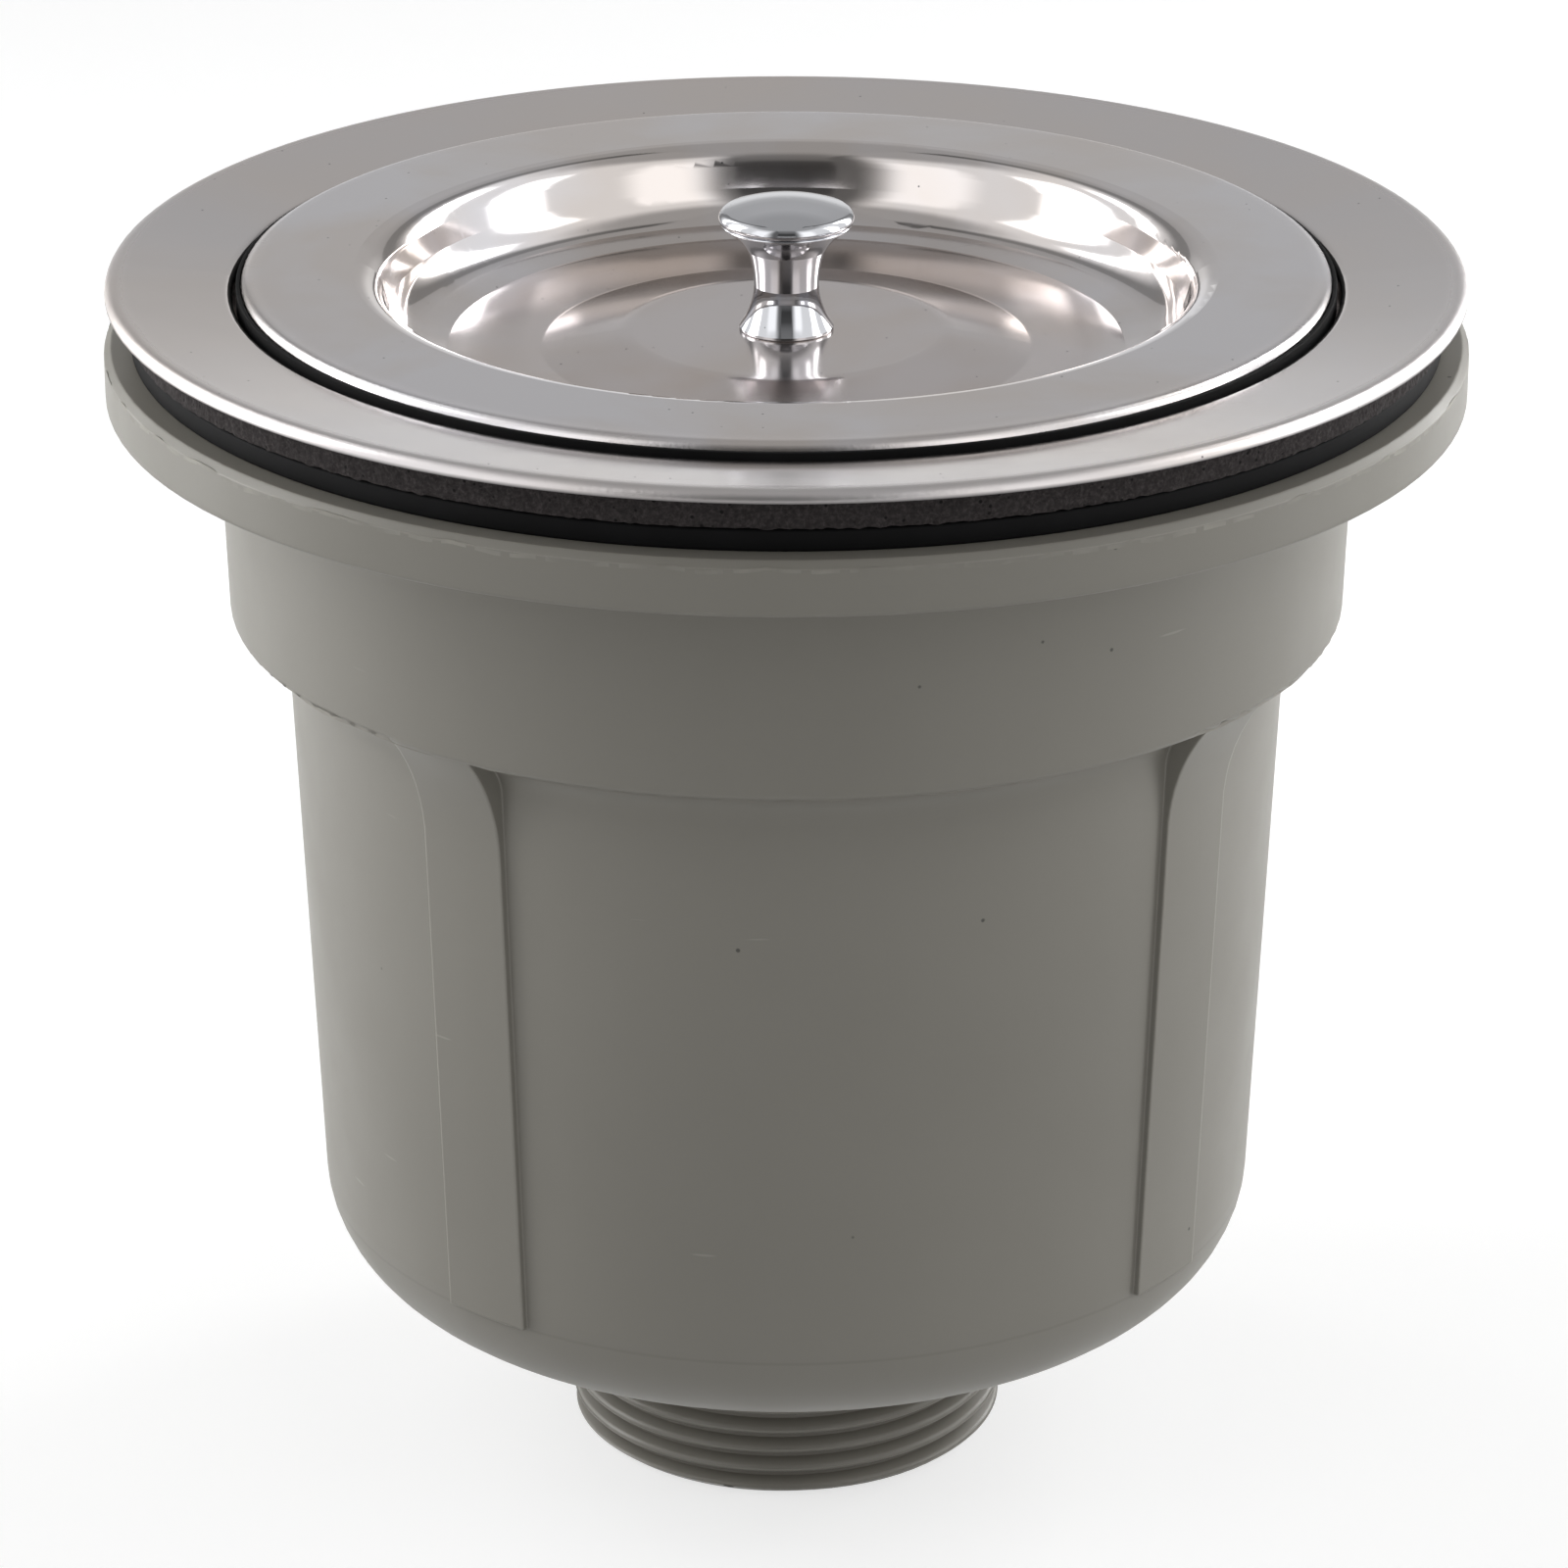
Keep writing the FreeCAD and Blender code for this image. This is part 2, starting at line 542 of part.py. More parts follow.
def handle_lug(side):
    """Thin lug welded inside the basket's wall; side is 1 on the right and -1 on the left."""
    eye_r = WIRE_R + EYE_PLAY
    ear_r = eye_r + EYE_WALL
    neck_z = EYE_Z - LUG_NECK_DROP
    low_z = neck_z - LUG_LENGTH
    top_z = EYE_Z + ear_r
    plate = turned([
        (basket_inner_r(low_z) - LUG_THICKNESS, low_z, 0),
        (basket_inner_r(low_z), low_z, 0),
        (basket_inner_r(top_z), top_z, 0),
        (basket_inner_r(top_z) - LUG_THICKNESS, top_z, 0),
    ])
    half = LUG_WIDTH / 2
    outline = Part.Face(Part.Wire([
        Part.LineSegment(FreeCAD.Vector(0, -half, low_z), FreeCAD.Vector(0, half, low_z)).toShape(),
        Part.LineSegment(FreeCAD.Vector(0, half, low_z), FreeCAD.Vector(0, half, neck_z)).toShape(),
        Part.LineSegment(FreeCAD.Vector(0, half, neck_z), FreeCAD.Vector(0, ear_r, EYE_Z)).toShape(),
        Part.Arc(FreeCAD.Vector(0, ear_r, EYE_Z), FreeCAD.Vector(0, 0, top_z),
                 FreeCAD.Vector(0, -ear_r, EYE_Z)).toShape(),
        Part.LineSegment(FreeCAD.Vector(0, -ear_r, EYE_Z), FreeCAD.Vector(0, -half, neck_z)).toShape(),
        Part.LineSegment(FreeCAD.Vector(0, -half, neck_z), FreeCAD.Vector(0, -half, low_z)).toShape(),
    ]))
    outward = FreeCAD.Vector(side, 0, 0)
    tongue = outline.extrude(outward * RIM_R)
    eye = Part.makeCylinder(eye_r, RIM_R, at(0, EYE_Z), outward)
    return plate.common(tongue).cut(eye)


def main():
    pieces = {
        "body": body(),
        "flange": flange(),
        "foam_gasket": foam_gasket(),
        "rubber_gasket": rubber_gasket(),
        "lid": lid(),
        "lid_seal_ring": lid_seal_ring(),
        "knob": knob(),
        "knob_screw": knob_screw(),
        "knob_washer": knob_washer(),
        "basket": basket(),
        "basket_handle": basket_handle(),
        "handle_lug_right": handle_lug(1),
        "handle_lug_left": handle_lug(-1),
    }
    os.makedirs("parts", exist_ok=True)
    for name, shape in pieces.items():
        shape.exportStep(f"parts/{name}.step")


main()
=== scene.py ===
"""Sink waste: finishes, soft rings, pipe thread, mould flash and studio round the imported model."""

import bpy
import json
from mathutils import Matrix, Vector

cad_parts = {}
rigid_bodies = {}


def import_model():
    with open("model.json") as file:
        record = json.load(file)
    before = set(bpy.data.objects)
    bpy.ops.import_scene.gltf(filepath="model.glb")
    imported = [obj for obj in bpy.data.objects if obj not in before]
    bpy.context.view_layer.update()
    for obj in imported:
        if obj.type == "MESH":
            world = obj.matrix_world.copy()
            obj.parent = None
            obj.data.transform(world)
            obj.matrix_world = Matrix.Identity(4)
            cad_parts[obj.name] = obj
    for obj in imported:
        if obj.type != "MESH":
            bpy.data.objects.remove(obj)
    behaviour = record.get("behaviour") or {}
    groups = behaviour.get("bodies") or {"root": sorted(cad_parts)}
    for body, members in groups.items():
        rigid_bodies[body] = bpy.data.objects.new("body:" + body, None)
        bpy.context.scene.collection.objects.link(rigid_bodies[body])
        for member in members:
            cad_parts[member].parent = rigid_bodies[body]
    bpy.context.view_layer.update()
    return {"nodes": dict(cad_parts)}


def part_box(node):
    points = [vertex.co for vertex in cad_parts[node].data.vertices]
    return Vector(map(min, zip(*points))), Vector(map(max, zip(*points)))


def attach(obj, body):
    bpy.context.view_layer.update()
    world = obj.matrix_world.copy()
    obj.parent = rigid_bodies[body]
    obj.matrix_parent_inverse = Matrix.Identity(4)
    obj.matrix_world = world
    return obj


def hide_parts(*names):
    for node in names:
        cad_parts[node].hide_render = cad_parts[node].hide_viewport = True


bl_info = {
    "name": "Sink waste",
    "version": (1, 0, 0),
    "blender": (4, 5, 0),
    "location": "View3D > Sidebar > Sink waste",
    "description": "Finishes, soft rings, pipe thread, mould flash and studio for a sink waste",
    "category": "Object",
}

import json
import math

import bmesh
import bpy

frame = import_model()

MM = 0.001
PER_MM = 1 / MM
FULL_TURN = 2 * math.pi

BODY_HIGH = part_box("body")[1]
FLANGE_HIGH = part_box("flange")[1]
LID_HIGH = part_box("lid")[1]
FOAM_LOW, FOAM_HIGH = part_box("foam_gasket")
RUBBER_LOW, RUBBER_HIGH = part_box("rubber_gasket")
SEAL_LOW, SEAL_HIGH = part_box("lid_seal_ring")

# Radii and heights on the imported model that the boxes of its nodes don't give.
RING_BORE_R = 58.5 * MM
SEAL_BORE_R = 51.5 * MM
FOAM_INNER_TOP = 129.454 * MM
BRIM_BOTTOM = FLANGE_HIGH.z - 1.3 * MM
RIM_EDGE_Z = BODY_HIGH.z - 0.7 * MM
SHOULDER_EDGE_Z = 95.28 * MM
SHOULDER_EDGE_R = 57.9 * MM
# Where the finishes change: the witness line round the cup's floor, and the radii over which the lid's dull
# floor and the painted shade between the crests of the spout's thread fade out.
WITNESS_Z = 29.8 * MM
DULL_FLOOR_R = (31 * MM, 36 * MM)
THREAD_VALLEY_SHADE_R = (22.2 * MM, 23.0 * MM)

# Steps once round the axis for a smooth ring, for the foam's cells and for the broken flash.
RING_STEPS = 240
FOAM_STEPS = 850
FLASH_STEPS = 720
# Points closer together than this become one.
MERGE_WITHIN = 0.002 * MM

# The studio's two cloth walls, in metres from the object's axis and from the floor.
WALL_AWAY = 0.5
WALL_FRONT = -1.9
WALL_BACK = 1.1
WALL_TOP = 2.4
# The cloth's brightness without its lamps, and how much brighter reflections show it than matt surfaces do.
WALL_LEVEL = 0.8
WALL_SHOWN = 0.35
# Each lamp behind a wall: its turn from the camera's side and half width, in degrees, and its strength.
LEFT_LAMPS = ((44, 14, 0.35), (97, 12, 3.7), (129, 5, 2.2))
RIGHT_LAMPS = ((35, 13, 0.4), (88, 9, 2.5), (129, 8, 5.2))
# A lamp fades out between these shares of its half width.
LAMP_EDGE = (0.6, 1.4)
# Where the light changes, in degrees of turn or of height seen from the lid, and the share left there.
LEFT_FADE_IN = (20, 38)
RIGHT_FADE_IN = (14, 32)
BESIDE_CAMERA = 0.15
FADE_OUT = (134, 148)
BEHIND = 0.27
LAMPS_FADE_UP = (36, 48)
WALLS_FADE_UP = (50, 66)
HIGH_UP = 0.45

# The room's greys: at its sides, and by the sine of the height round the camera and behind the object.
ROOM_GREY = 0.46
FRONT_GREYS = ((0.05, 0.18), (0.25, 0.06), (0.5, 0.08), (0.65, 0.19), (0.85, 0.26), (0.97, 0.46))
BACK_GREYS = ((0.14, 0.9), (0.26, 0.58), (0.38, 0.53), (0.6, 0.57), (0.72, 0.46))
# The turns in degrees over which the sides change to those greys.
FRONT_TURNS = (34, 12)
BACK_TURNS = (148, 172)
FLOOR_GLOW = 0.67


def linear(hex_colour):
    """An sRGB hex colour as the linear colour with alpha that a node takes."""
    parts = [int(hex_colour[i:i + 2], 16) / 255 for i in (1, 3, 5)]
    return tuple(p / 12.92 if p <= 0.04045 else ((p + 0.055) / 1.055) ** 2.4 for p in parts) + (1.0,)


def grey(level):
    """A neutral linear colour of the given brightness."""
    return (level, level, level, 1.0)


def shade(colour, share):
    """A colour made lighter or darker by a share."""
    return tuple(min(1.0, c * share) for c in colour[:3]) + (1.0,)


class ThreadSettings(bpy.types.PropertyGroup):
    """Sizes of the pipe thread on the spout."""

    core_radius: bpy.props.FloatProperty(
        name="Core radius", description="Radius of the spout under the thread",
        default=22.15 * MM, unit="LENGTH")
    crest_radius: bpy.props.FloatProperty(
        name="Crest radius", description="Radius over the crests of the thread",
        default=23.42 * MM, unit="LENGTH")
    pitch: bpy.props.FloatProperty(
        name="Pitch", description="Distance from crest to crest, 11 to the inch",
        default=2.309 * MM, unit="LENGTH")
    crest_round: bpy.props.FloatProperty(
        name="Crest rounding", description="Rounding of the crest's two corners",
        default=0.42 * MM, unit="LENGTH")
    first_crest: bpy.props.FloatProperty(
        name="First crest", description="Height of the lowest crest at the front",
        default=0.95 * MM, unit="LENGTH")
    chamfer: bpy.props.FloatProperty(
        name="End chamfer", description="Height of the chamfer at the spout's end",
        default=1.1 * MM, unit="LENGTH")
    run_out: bpy.props.FloatProperty(
        name="Run-out", description="Height above the spout's end where the thread starts to run out",
        default=16.4 * MM, unit="LENGTH")
    top: bpy.props.FloatProperty(
        name="Top", description="Height above the spout's end where the thread has run out",
        default=18.4 * MM, unit="LENGTH")


class RingSettings(bpy.types.PropertyGroup):
    """Shapes of the three soft rings and of the mould flash."""

    foam_tear: bpy.props.FloatProperty(
        name="Foam tear", description="How deep the cut cells and small tears of the foam go",
        default=0.3 * MM, unit="LENGTH")
    foam_cell: bpy.props.FloatProperty(
        name="Foam cell", description="Size of the lumps along the foam's edge",
        default=0.9 * MM, unit="LENGTH")
    rubber_round: bpy.props.FloatProperty(
        name="Rubber rounding", description="Rounding of the rubber ring's corners",
        default=0.35 * MM, unit="LENGTH")
    seal_round: bpy.props.FloatProperty(
        name="Seal rounding", description="Rounding of the corners of the ring under the lid",
        default=0.6 * MM, unit="LENGTH")
    lip_top: bpy.props.FloatProperty(
        name="Lip top", description="Height up to which the soft ring's lip stands in the gap round the lid",
        default=130.5 * MM, unit="LENGTH")
    flash: bpy.props.FloatProperty(
        name="Mould flash", description="How far the thin flash stands out along the cup's two parting lines",
        default=0.12 * MM, unit="LENGTH")


class FinishSettings(bpy.types.PropertyGroup):
    """Base colours of the finishes."""

    plastic: bpy.props.FloatVectorProperty(
        name="Moulded cup", description="Warm grey polypropylene",
        default=linear("#87847C"), size=4, subtype="COLOR", min=0, max=1)
    steel: bpy.props.FloatVectorProperty(
        name="Flange steel", description="Bright rolled stainless steel",
        default=linear("#CAC6C6"), size=4, subtype="COLOR", min=0, max=1)
    polished: bpy.props.FloatVectorProperty(
        name="Lid steel", description="Polished stainless steel",
        default=linear("#D2D0D3"), size=4, subtype="COLOR", min=0, max=1)
    stain: bpy.props.FloatVectorProperty(
        name="Dried stain", description="Brownish film that drying water left on the steel",
        default=linear("#CCC5C1"), size=4, subtype="COLOR", min=0, max=1)
    chrome: bpy.props.FloatVectorProperty(
        name="Knob chrome", description="Bright chrome plating",
        default=linear("#CBCCD0"), size=4, subtype="COLOR", min=0, max=1)
    foam: bpy.props.FloatVectorProperty(
        name="Foam gasket", description="Dark closed-cell foam",
        default=linear("#373333"), size=4, subtype="COLOR", min=0, max=1)
    rubber: bpy.props.FloatVectorProperty(
        name="Rubber", description="Black rubber of the gasket and the lid's ring",
        default=linear("#0B0B0C"), size=4, subtype="COLOR", min=0, max=1)


class StudioSettings(bpy.types.PropertyGroup):
    """Place of the camera and strength of the lights."""

    camera_distance: bpy.props.FloatProperty(
        name="Camera distance", description="Level distance from the axis to the camera",
        default=620.48 * MM, unit="LENGTH")
    camera_height: bpy.props.FloatProperty(
        name="Camera height", description="Height of the camera above the floor",
        default=329.42 * MM, unit="LENGTH")
    camera_aside: bpy.props.FloatProperty(
        name="Camera aside", description="How far left of the axis the camera stands",
        default=0.25 * MM, unit="LENGTH")
    camera_pitch: bpy.props.FloatProperty(
        name="Camera pitch", description="How far below the horizon the camera looks",
        default=math.radians(22.437), subtype="ANGLE")
    lens: bpy.props.FloatProperty(
        name="Lens", description="Focal length on a sensor 36 mm wide",
        default=144.66, min=1)
    side_light: bpy.props.FloatProperty(
        name="Side lights", description="Brightness of the two lit cloth walls",
        default=1.0, min=0)
    ambient: bpy.props.FloatProperty(
        name="Ambient", description="Brightness of the room for matt surfaces",
        default=0.01, min=0)


def settings(name):
    """One group of the panel's settings."""
    return getattr(bpy.context.scene, "sink_waste_" + name)


def deselect_all():
    """Leaves nothing selected, so that an operator acts on its own piece alone."""
    for obj in bpy.context.view_layer.objects:
        obj.select_set(False)


def new_section(name, inner, outer, bottom, top):
    """A plate that stands on one side of the axis, left in edit mode: the start of a turned section."""
    deselect_all()
    bpy.ops.mesh.primitive_plane_add(size=1, location=((inner + outer) / 2, 0, (bottom + top) / 2),
                                     rotation=(math.pi / 2, 0, 0))
    piece = bpy.context.object
    piece.name = piece.data.name = name
    piece.scale = (outer - inner, top - bottom, 1)
    bpy.ops.object.transform_apply(location=True, rotation=True, scale=True)
    bpy.ops.object.mode_set(mode="EDIT")
    return piece


def pick(piece, test):
    """Selects the points that pass the test, with the edges and faces between them."""
    points = bmesh.from_edit_mesh(piece.data)
    for edge in points.edges:
        edge.select = False
    for point in points.verts:
        point.select = bool(test(point.co))
    points.select_flush_mode()
    bmesh.update_edit_mesh(piece.data)


def spin_section(piece, steps):
    """Turns the section once round the axis into a closed ring, and leaves edit mode."""
    bpy.ops.mesh.select_all(action="SELECT")
    bpy.ops.mesh.delete(type="ONLY_FACE")
    bpy.ops.mesh.select_all(action="SELECT")
    bpy.ops.mesh.spin(steps=steps, angle=FULL_TURN, center=(0, 0, 0), axis=(0, 0, 1))
    close_mesh(piece)


def close_mesh(piece):
    """Merges what lies doubled, points all faces outwards and leaves edit mode."""
    bpy.ops.mesh.select_all(action="SELECT")
    bpy.ops.mesh.remove_doubles(threshold=MERGE_WITHIN)
    bpy.ops.mesh.normals_make_consistent(inside=False)
    bpy.ops.object.mode_set(mode="OBJECT")


def roughen(piece, cell, depth, mid_level, direction, contrast=1.0):
    """Moves the surface by a cloudy pattern with lumps of the given size."""
    clouds = bpy.data.textures.new(piece.name + "_clouds", "CLOUDS")
    clouds.noise_scale = cell
    clouds.noise_depth = 2
    clouds.contrast = contrast
    displace = piece.modifiers.new("displace", "DISPLACE")
    displace.texture = clouds
    displace.texture_coords = "LOCAL"
    displace.direction = direction
    displace.strength = depth
    displace.mid_level = mid_level
    bpy.ops.object.modifier_apply(modifier="displace")


def dress(piece, material, smooth_deg):
    """Gives a finished piece its shading, its finish and the body that it rides on."""
    bpy.ops.object.shade_smooth_by_angle(angle=math.radians(smooth_deg))
    piece.data.materials.clear()
    piece.data.materials.append(material)
    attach(piece, "root")


def finish_nodes(material, *nodes):
    """Gives CAD nodes their finish."""
    for name in nodes:
        for slot in frame["nodes"][name].material_slots:
            slot.material = material


def add_node(tree, kind, inputs=None, stops=(), **options):
    """Adds a node: its options, its ramp's stops, and its inputs as values or as what feeds them."""
    node = tree.nodes.new(kind)
    for name, value in options.items():
        setattr(node, name, value)
    for i, (spot, colour) in enumerate(stops):
        stop = node.color_ramp.elements[i] if i < 2 else node.color_ramp.elements.new(spot)
        stop.position = spot
        stop.color = colour
    for name, value in (inputs or {}).items():
        if isinstance(value, bpy.types.NodeSocket):
            tree.links.new(value, node.inputs[name])
        else:
            node.inputs[name].default_value = value
    return node


def new_finish(name):
    """A new material's empty node tree, and the place on the piece that its patterns read."""
    material = bpy.data.materials.new(name)
    material.use_nodes = True
    material.node_tree.nodes.clear()
    return material, material.node_tree, add_node(material.node_tree, "ShaderNodeTexCoord").outputs["Object"]


def surface(tree, **inputs):
    """Ends a finish with its shader; the names of the inputs are the shader's own, with _ for a space."""
    named = {name.replace("_", " "): value for name, value in inputs.items()}
    shader = add_node(tree, "ShaderNodeBsdfPrincipled", named)
    add_node(tree, "ShaderNodeOutputMaterial", {"Surface": shader.outputs[0]})


def marks(tree, place, cell, fill, share, turn=0.0):
    """Where sparse marks lie: cells of a size in mm, of which a share hold a mark that fills part of them."""
    laid = add_node(tree, "ShaderNodeMapping", {"Vector": place, "Rotation": (0, 0, turn),
                                                "Scale": tuple(PER_MM / c if c else 0 for c in cell)})
    cells = add_node(tree, "ShaderNodeTexVoronoi", {"Vector": laid.outputs[0], "Scale": 1.0})
    near = add_node(tree, "ShaderNodeMapRange", {"Value": cells.outputs["Distance"], "From Min": fill * 0.6,
                                                 "From Max": fill, "To Min": 1.0, "To Max": 0.0})
    draw = add_node(tree, "ShaderNodeSeparateColor", {0: cells.outputs["Color"]})
    drawn = add_node(tree, "ShaderNodeMath", {0: draw.outputs["Red"], 1: share}, operation="LESS_THAN")
    mark = add_node(tree, "ShaderNodeMath", {0: near.outputs[0], 1: drawn.outputs[0]}, operation="MULTIPLY")
    return mark.outputs[0]


def radius(tree, place):
    """Distance of a place from the axis."""
    flat = add_node(tree, "ShaderNodeVectorMath", {0: place, 1: (1, 1, 0)}, operation="MULTIPLY")
    return add_node(tree, "ShaderNodeVectorMath", {0: flat.outputs[0]}, operation="LENGTH").outputs["Value"]


def moulded_polypropylene(colour):
    """Injection-moulded polypropylene."""
    # A satin skin: faint waves and clouds from the melt's flow, a few dark specks in it, some pale short
    # scuffs that run round the cup, and one fine witness line round the floor where the mould's base plate
    # met its cavity. The mould's corners left a small rounding that catches the light, and a painted
    # highlight makes them paler still; painted shade darkens the valleys between the crests of the spout's
    # thread.
    material, tree, place = new_finish("moulded_polypropylene")
    flow = add_node(tree, "ShaderNodeTexNoise", {"Vector": place, "Scale": PER_MM / 38, "Detail": 3.0})
    tone = add_node(tree, "ShaderNodeValToRGB", {"Fac": flow.outputs["Fac"]},
                    stops=((0.3, shade(colour, 0.965)), (0.7, shade(colour, 1.03))))
    specks = marks(tree, place, (6, 6, 6), 0.045, 0.35)
    tone = add_node(tree, "ShaderNodeMix", {0: specks, 6: tone.outputs[0], 7: shade(colour, 0.3)},
                    data_type="RGBA")

    # The cup is unrolled at about its own radius, so that the scuffs keep their length round it.
    parts = add_node(tree, "ShaderNodeSeparateXYZ", {0: place})
    around = add_node(tree, "ShaderNodeMath", {0: parts.outputs["Y"], 1: parts.outputs["X"]},
                      operation="ARCTAN2")
    along = add_node(tree, "ShaderNodeMath", {0: around.outputs[0], 1: BODY_HIGH.x * 0.8},
                     operation="MULTIPLY")
    unrolled = add_node(tree, "ShaderNodeCombineXYZ", {0: along.outputs[0], 1: parts.outputs["Z"]})
    scuffs = marks(tree, unrolled.outputs[0], (4.5, 0.4, 0), 0.42, 0.0012, 0.06)
    tone = add_node(tree, "ShaderNodeMix", {0: scuffs, 6: tone.outputs[2], 7: shade(colour, 1.25)},
                    data_type="RGBA")
    off = add_node(tree, "ShaderNodeMath", {0: parts.outputs["Z"], 1: WITNESS_Z}, operation="SUBTRACT")
    off = add_node(tree, "ShaderNodeMath", {0: off.outputs[0]}, operation="ABSOLUTE")
    witness = add_node(tree, "ShaderNodeMapRange", {"Value": off.outputs[0], "From Min": 0.08 * MM,
                                                    "From Max": 0.25 * MM, "To Min": 0.3, "To Max": 0.0})
    tone = add_node(tree, "ShaderNodeMix", {0: witness.outputs[0], 6: tone.outputs[2], 7: shade(colour, 0.7)},
                    data_type="RGBA")
    low = add_node(tree, "ShaderNodeMath", {0: parts.outputs["Z"], 1: settings("thread").top},
                   operation="LESS_THAN")
    # Painted shade: below the thread's top, the colour turns dark brown towards the valleys between the
    # crests.
    valley_shade = add_node(tree, "ShaderNodeMapRange", {"Value": radius(tree, place), "From Min": THREAD_VALLEY_SHADE_R[0],
                                                 "From Max": THREAD_VALLEY_SHADE_R[1], "To Min": 0.45, "To Max": 0.0})
    valley_shade = add_node(tree, "ShaderNodeMath", {0: low.outputs[0], 1: valley_shade.outputs[0]}, operation="MULTIPLY")
    tone = add_node(tree, "ShaderNodeMix", {0: valley_shade.outputs[0], 6: tone.outputs[2], 7: linear("#403A30")},
                    data_type="RGBA")

    # The rounding is left out round the thread, where the ridge's hidden foot would darken it.
    corner = add_node(tree, "ShaderNodeBevel", {"Radius": 0.4 * MM}, samples=6)
    face = add_node(tree, "ShaderNodeNewGeometry")
    corner = add_node(tree, "ShaderNodeMix", {0: low.outputs[0], 4: corner.outputs[0],
                                              5: face.outputs["Normal"]}, data_type="VECTOR").outputs[1]
    bend = add_node(tree, "ShaderNodeVectorMath", {0: corner, 1: face.outputs["Normal"]},
                    operation="DOT_PRODUCT")
    # Painted highlight: the colour is made paler where the rounded normal turns away from the face, along
    # every edge.
    edge_highlight = add_node(tree, "ShaderNodeMapRange", {"Value": bend.outputs["Value"], "From Min": 0.97,
                                                   "From Max": 0.85, "To Min": 0.0, "To Max": 0.9})
    tone = add_node(tree, "ShaderNodeMix", {0: edge_highlight.outputs[0], 6: tone.outputs[2], 7: shade(colour, 1.6)},
                    data_type="RGBA")

    gloss = add_node(tree, "ShaderNodeTexNoise", {"Vector": place, "Scale": PER_MM / 11, "Detail": 3.0})
    gloss = add_node(tree, "ShaderNodeMapRange", {"Value": gloss.outputs["Fac"], "From Min": 0.3,
                                                  "From Max": 0.7, "To Min": 0.38, "To Max": 0.46})
    skin = add_node(tree, "ShaderNodeTexNoise", {"Vector": place, "Scale": PER_MM / 0.5, "Detail": 2.0})
    relief = add_node(tree, "ShaderNodeBump", {"Height": skin.outputs["Fac"], "Distance": 0.004 * MM,
                                               "Normal": corner})
    waves = add_node(tree, "ShaderNodeTexNoise", {"Vector": place, "Scale": PER_MM / 17, "Detail": 2.0})
    relief = add_node(tree, "ShaderNodeBump", {"Height": waves.outputs["Fac"], "Distance": 0.05 * MM,
                                               "Normal": relief.outputs[0]})
    surface(tree, Base_Color=tone.outputs[2], Roughness=gloss.outputs[0], IOR=1.49, Normal=relief.outputs[0])
    return material


def whitened_flash(colour):
    """Thin torn polypropylene."""
    # Plastic that is strained until it tears turns pale, so the flash shows as a broken light line.
    material, tree, place = new_finish("whitened_flash")
    strain = add_node(tree, "ShaderNodeTexNoise", {"Vector": place, "Scale": PER_MM / 5, "Detail": 4.0})
    tone = add_node(tree, "ShaderNodeValToRGB", {"Fac": strain.outputs["Fac"]},
                    stops=((0.4, shade(colour, 1.0)), (0.75, shade(colour, 1.4))))
    surface(tree, Base_Color=tone.outputs[0], Roughness=0.5, IOR=1.49)
    return material


def pressed_steel(name, colour, stain, across, wear, edge_radius, edge_wear, pebble):
    """The nodes that the flange's and the lid's sheet have in common."""
    material, tree, place = new_finish(name)
    film = add_node(tree, "ShaderNodeTexNoise", {"Vector": place, "Scale": PER_MM / across, "Detail": 4.0,
                                                 "Distortion": 0.4})
    tone = add_node(tree, "ShaderNodeValToRGB", {"Fac": film.outputs["Fac"]},
                    stops=((0.4, colour), (0.62, stain)))
    dust = marks(tree, place, (2.4, 2.4, 2.4), 0.06, 0.5)
    tone = add_node(tree, "ShaderNodeMix", {0: dust, 6: tone.outputs[0], 7: shade(colour, 0.25)},
                    data_type="RGBA")

    out = add_node(tree, "ShaderNodeMapRange", {"Value": radius(tree, place),
                                                "From Min": edge_radius - 2.3 * MM,
                                                "From Max": edge_radius - 1.2 * MM})
    rub = add_node(tree, "ShaderNodeTexNoise", {"Vector": place, "Scale": PER_MM / 8, "Detail": 4.0,
                                                "Roughness": 0.6})
    rub = add_node(tree, "ShaderNodeMapRange", {"Value": rub.outputs["Fac"], "From Min": 0.3,
                                                "From Max": 0.75, "To Min": wear[0], "To Max": wear[1]})
    gloss = add_node(tree, "ShaderNodeMath", {0: out.outputs[0], 1: edge_wear, 2: rub.outputs[0]},
                     operation="MULTIPLY_ADD").outputs[0]
    for turn in (0.3, 1.25, 2.4):
        lines = marks(tree, place, (14, 0.45, 0), 0.4, 0.02, turn)
        gloss = add_node(tree, "ShaderNodeMath", {0: lines, 1: 0.05, 2: gloss},
                         operation="MULTIPLY_ADD").outputs[0]

    orange = add_node(tree, "ShaderNodeTexNoise", {"Vector": place, "Scale": PER_MM / 0.5, "Detail": 2.0})
    orange = add_node(tree, "ShaderNodeMath", {0: orange.outputs["Fac"], 1: out.outputs[0]},
                      operation="MULTIPLY")
    relief = add_node(tree, "ShaderNodeBump", {"Height": orange.outputs[0], "Distance": pebble * MM})
    return material, tree, place, tone.outputs[2], gloss, relief.outputs[0]


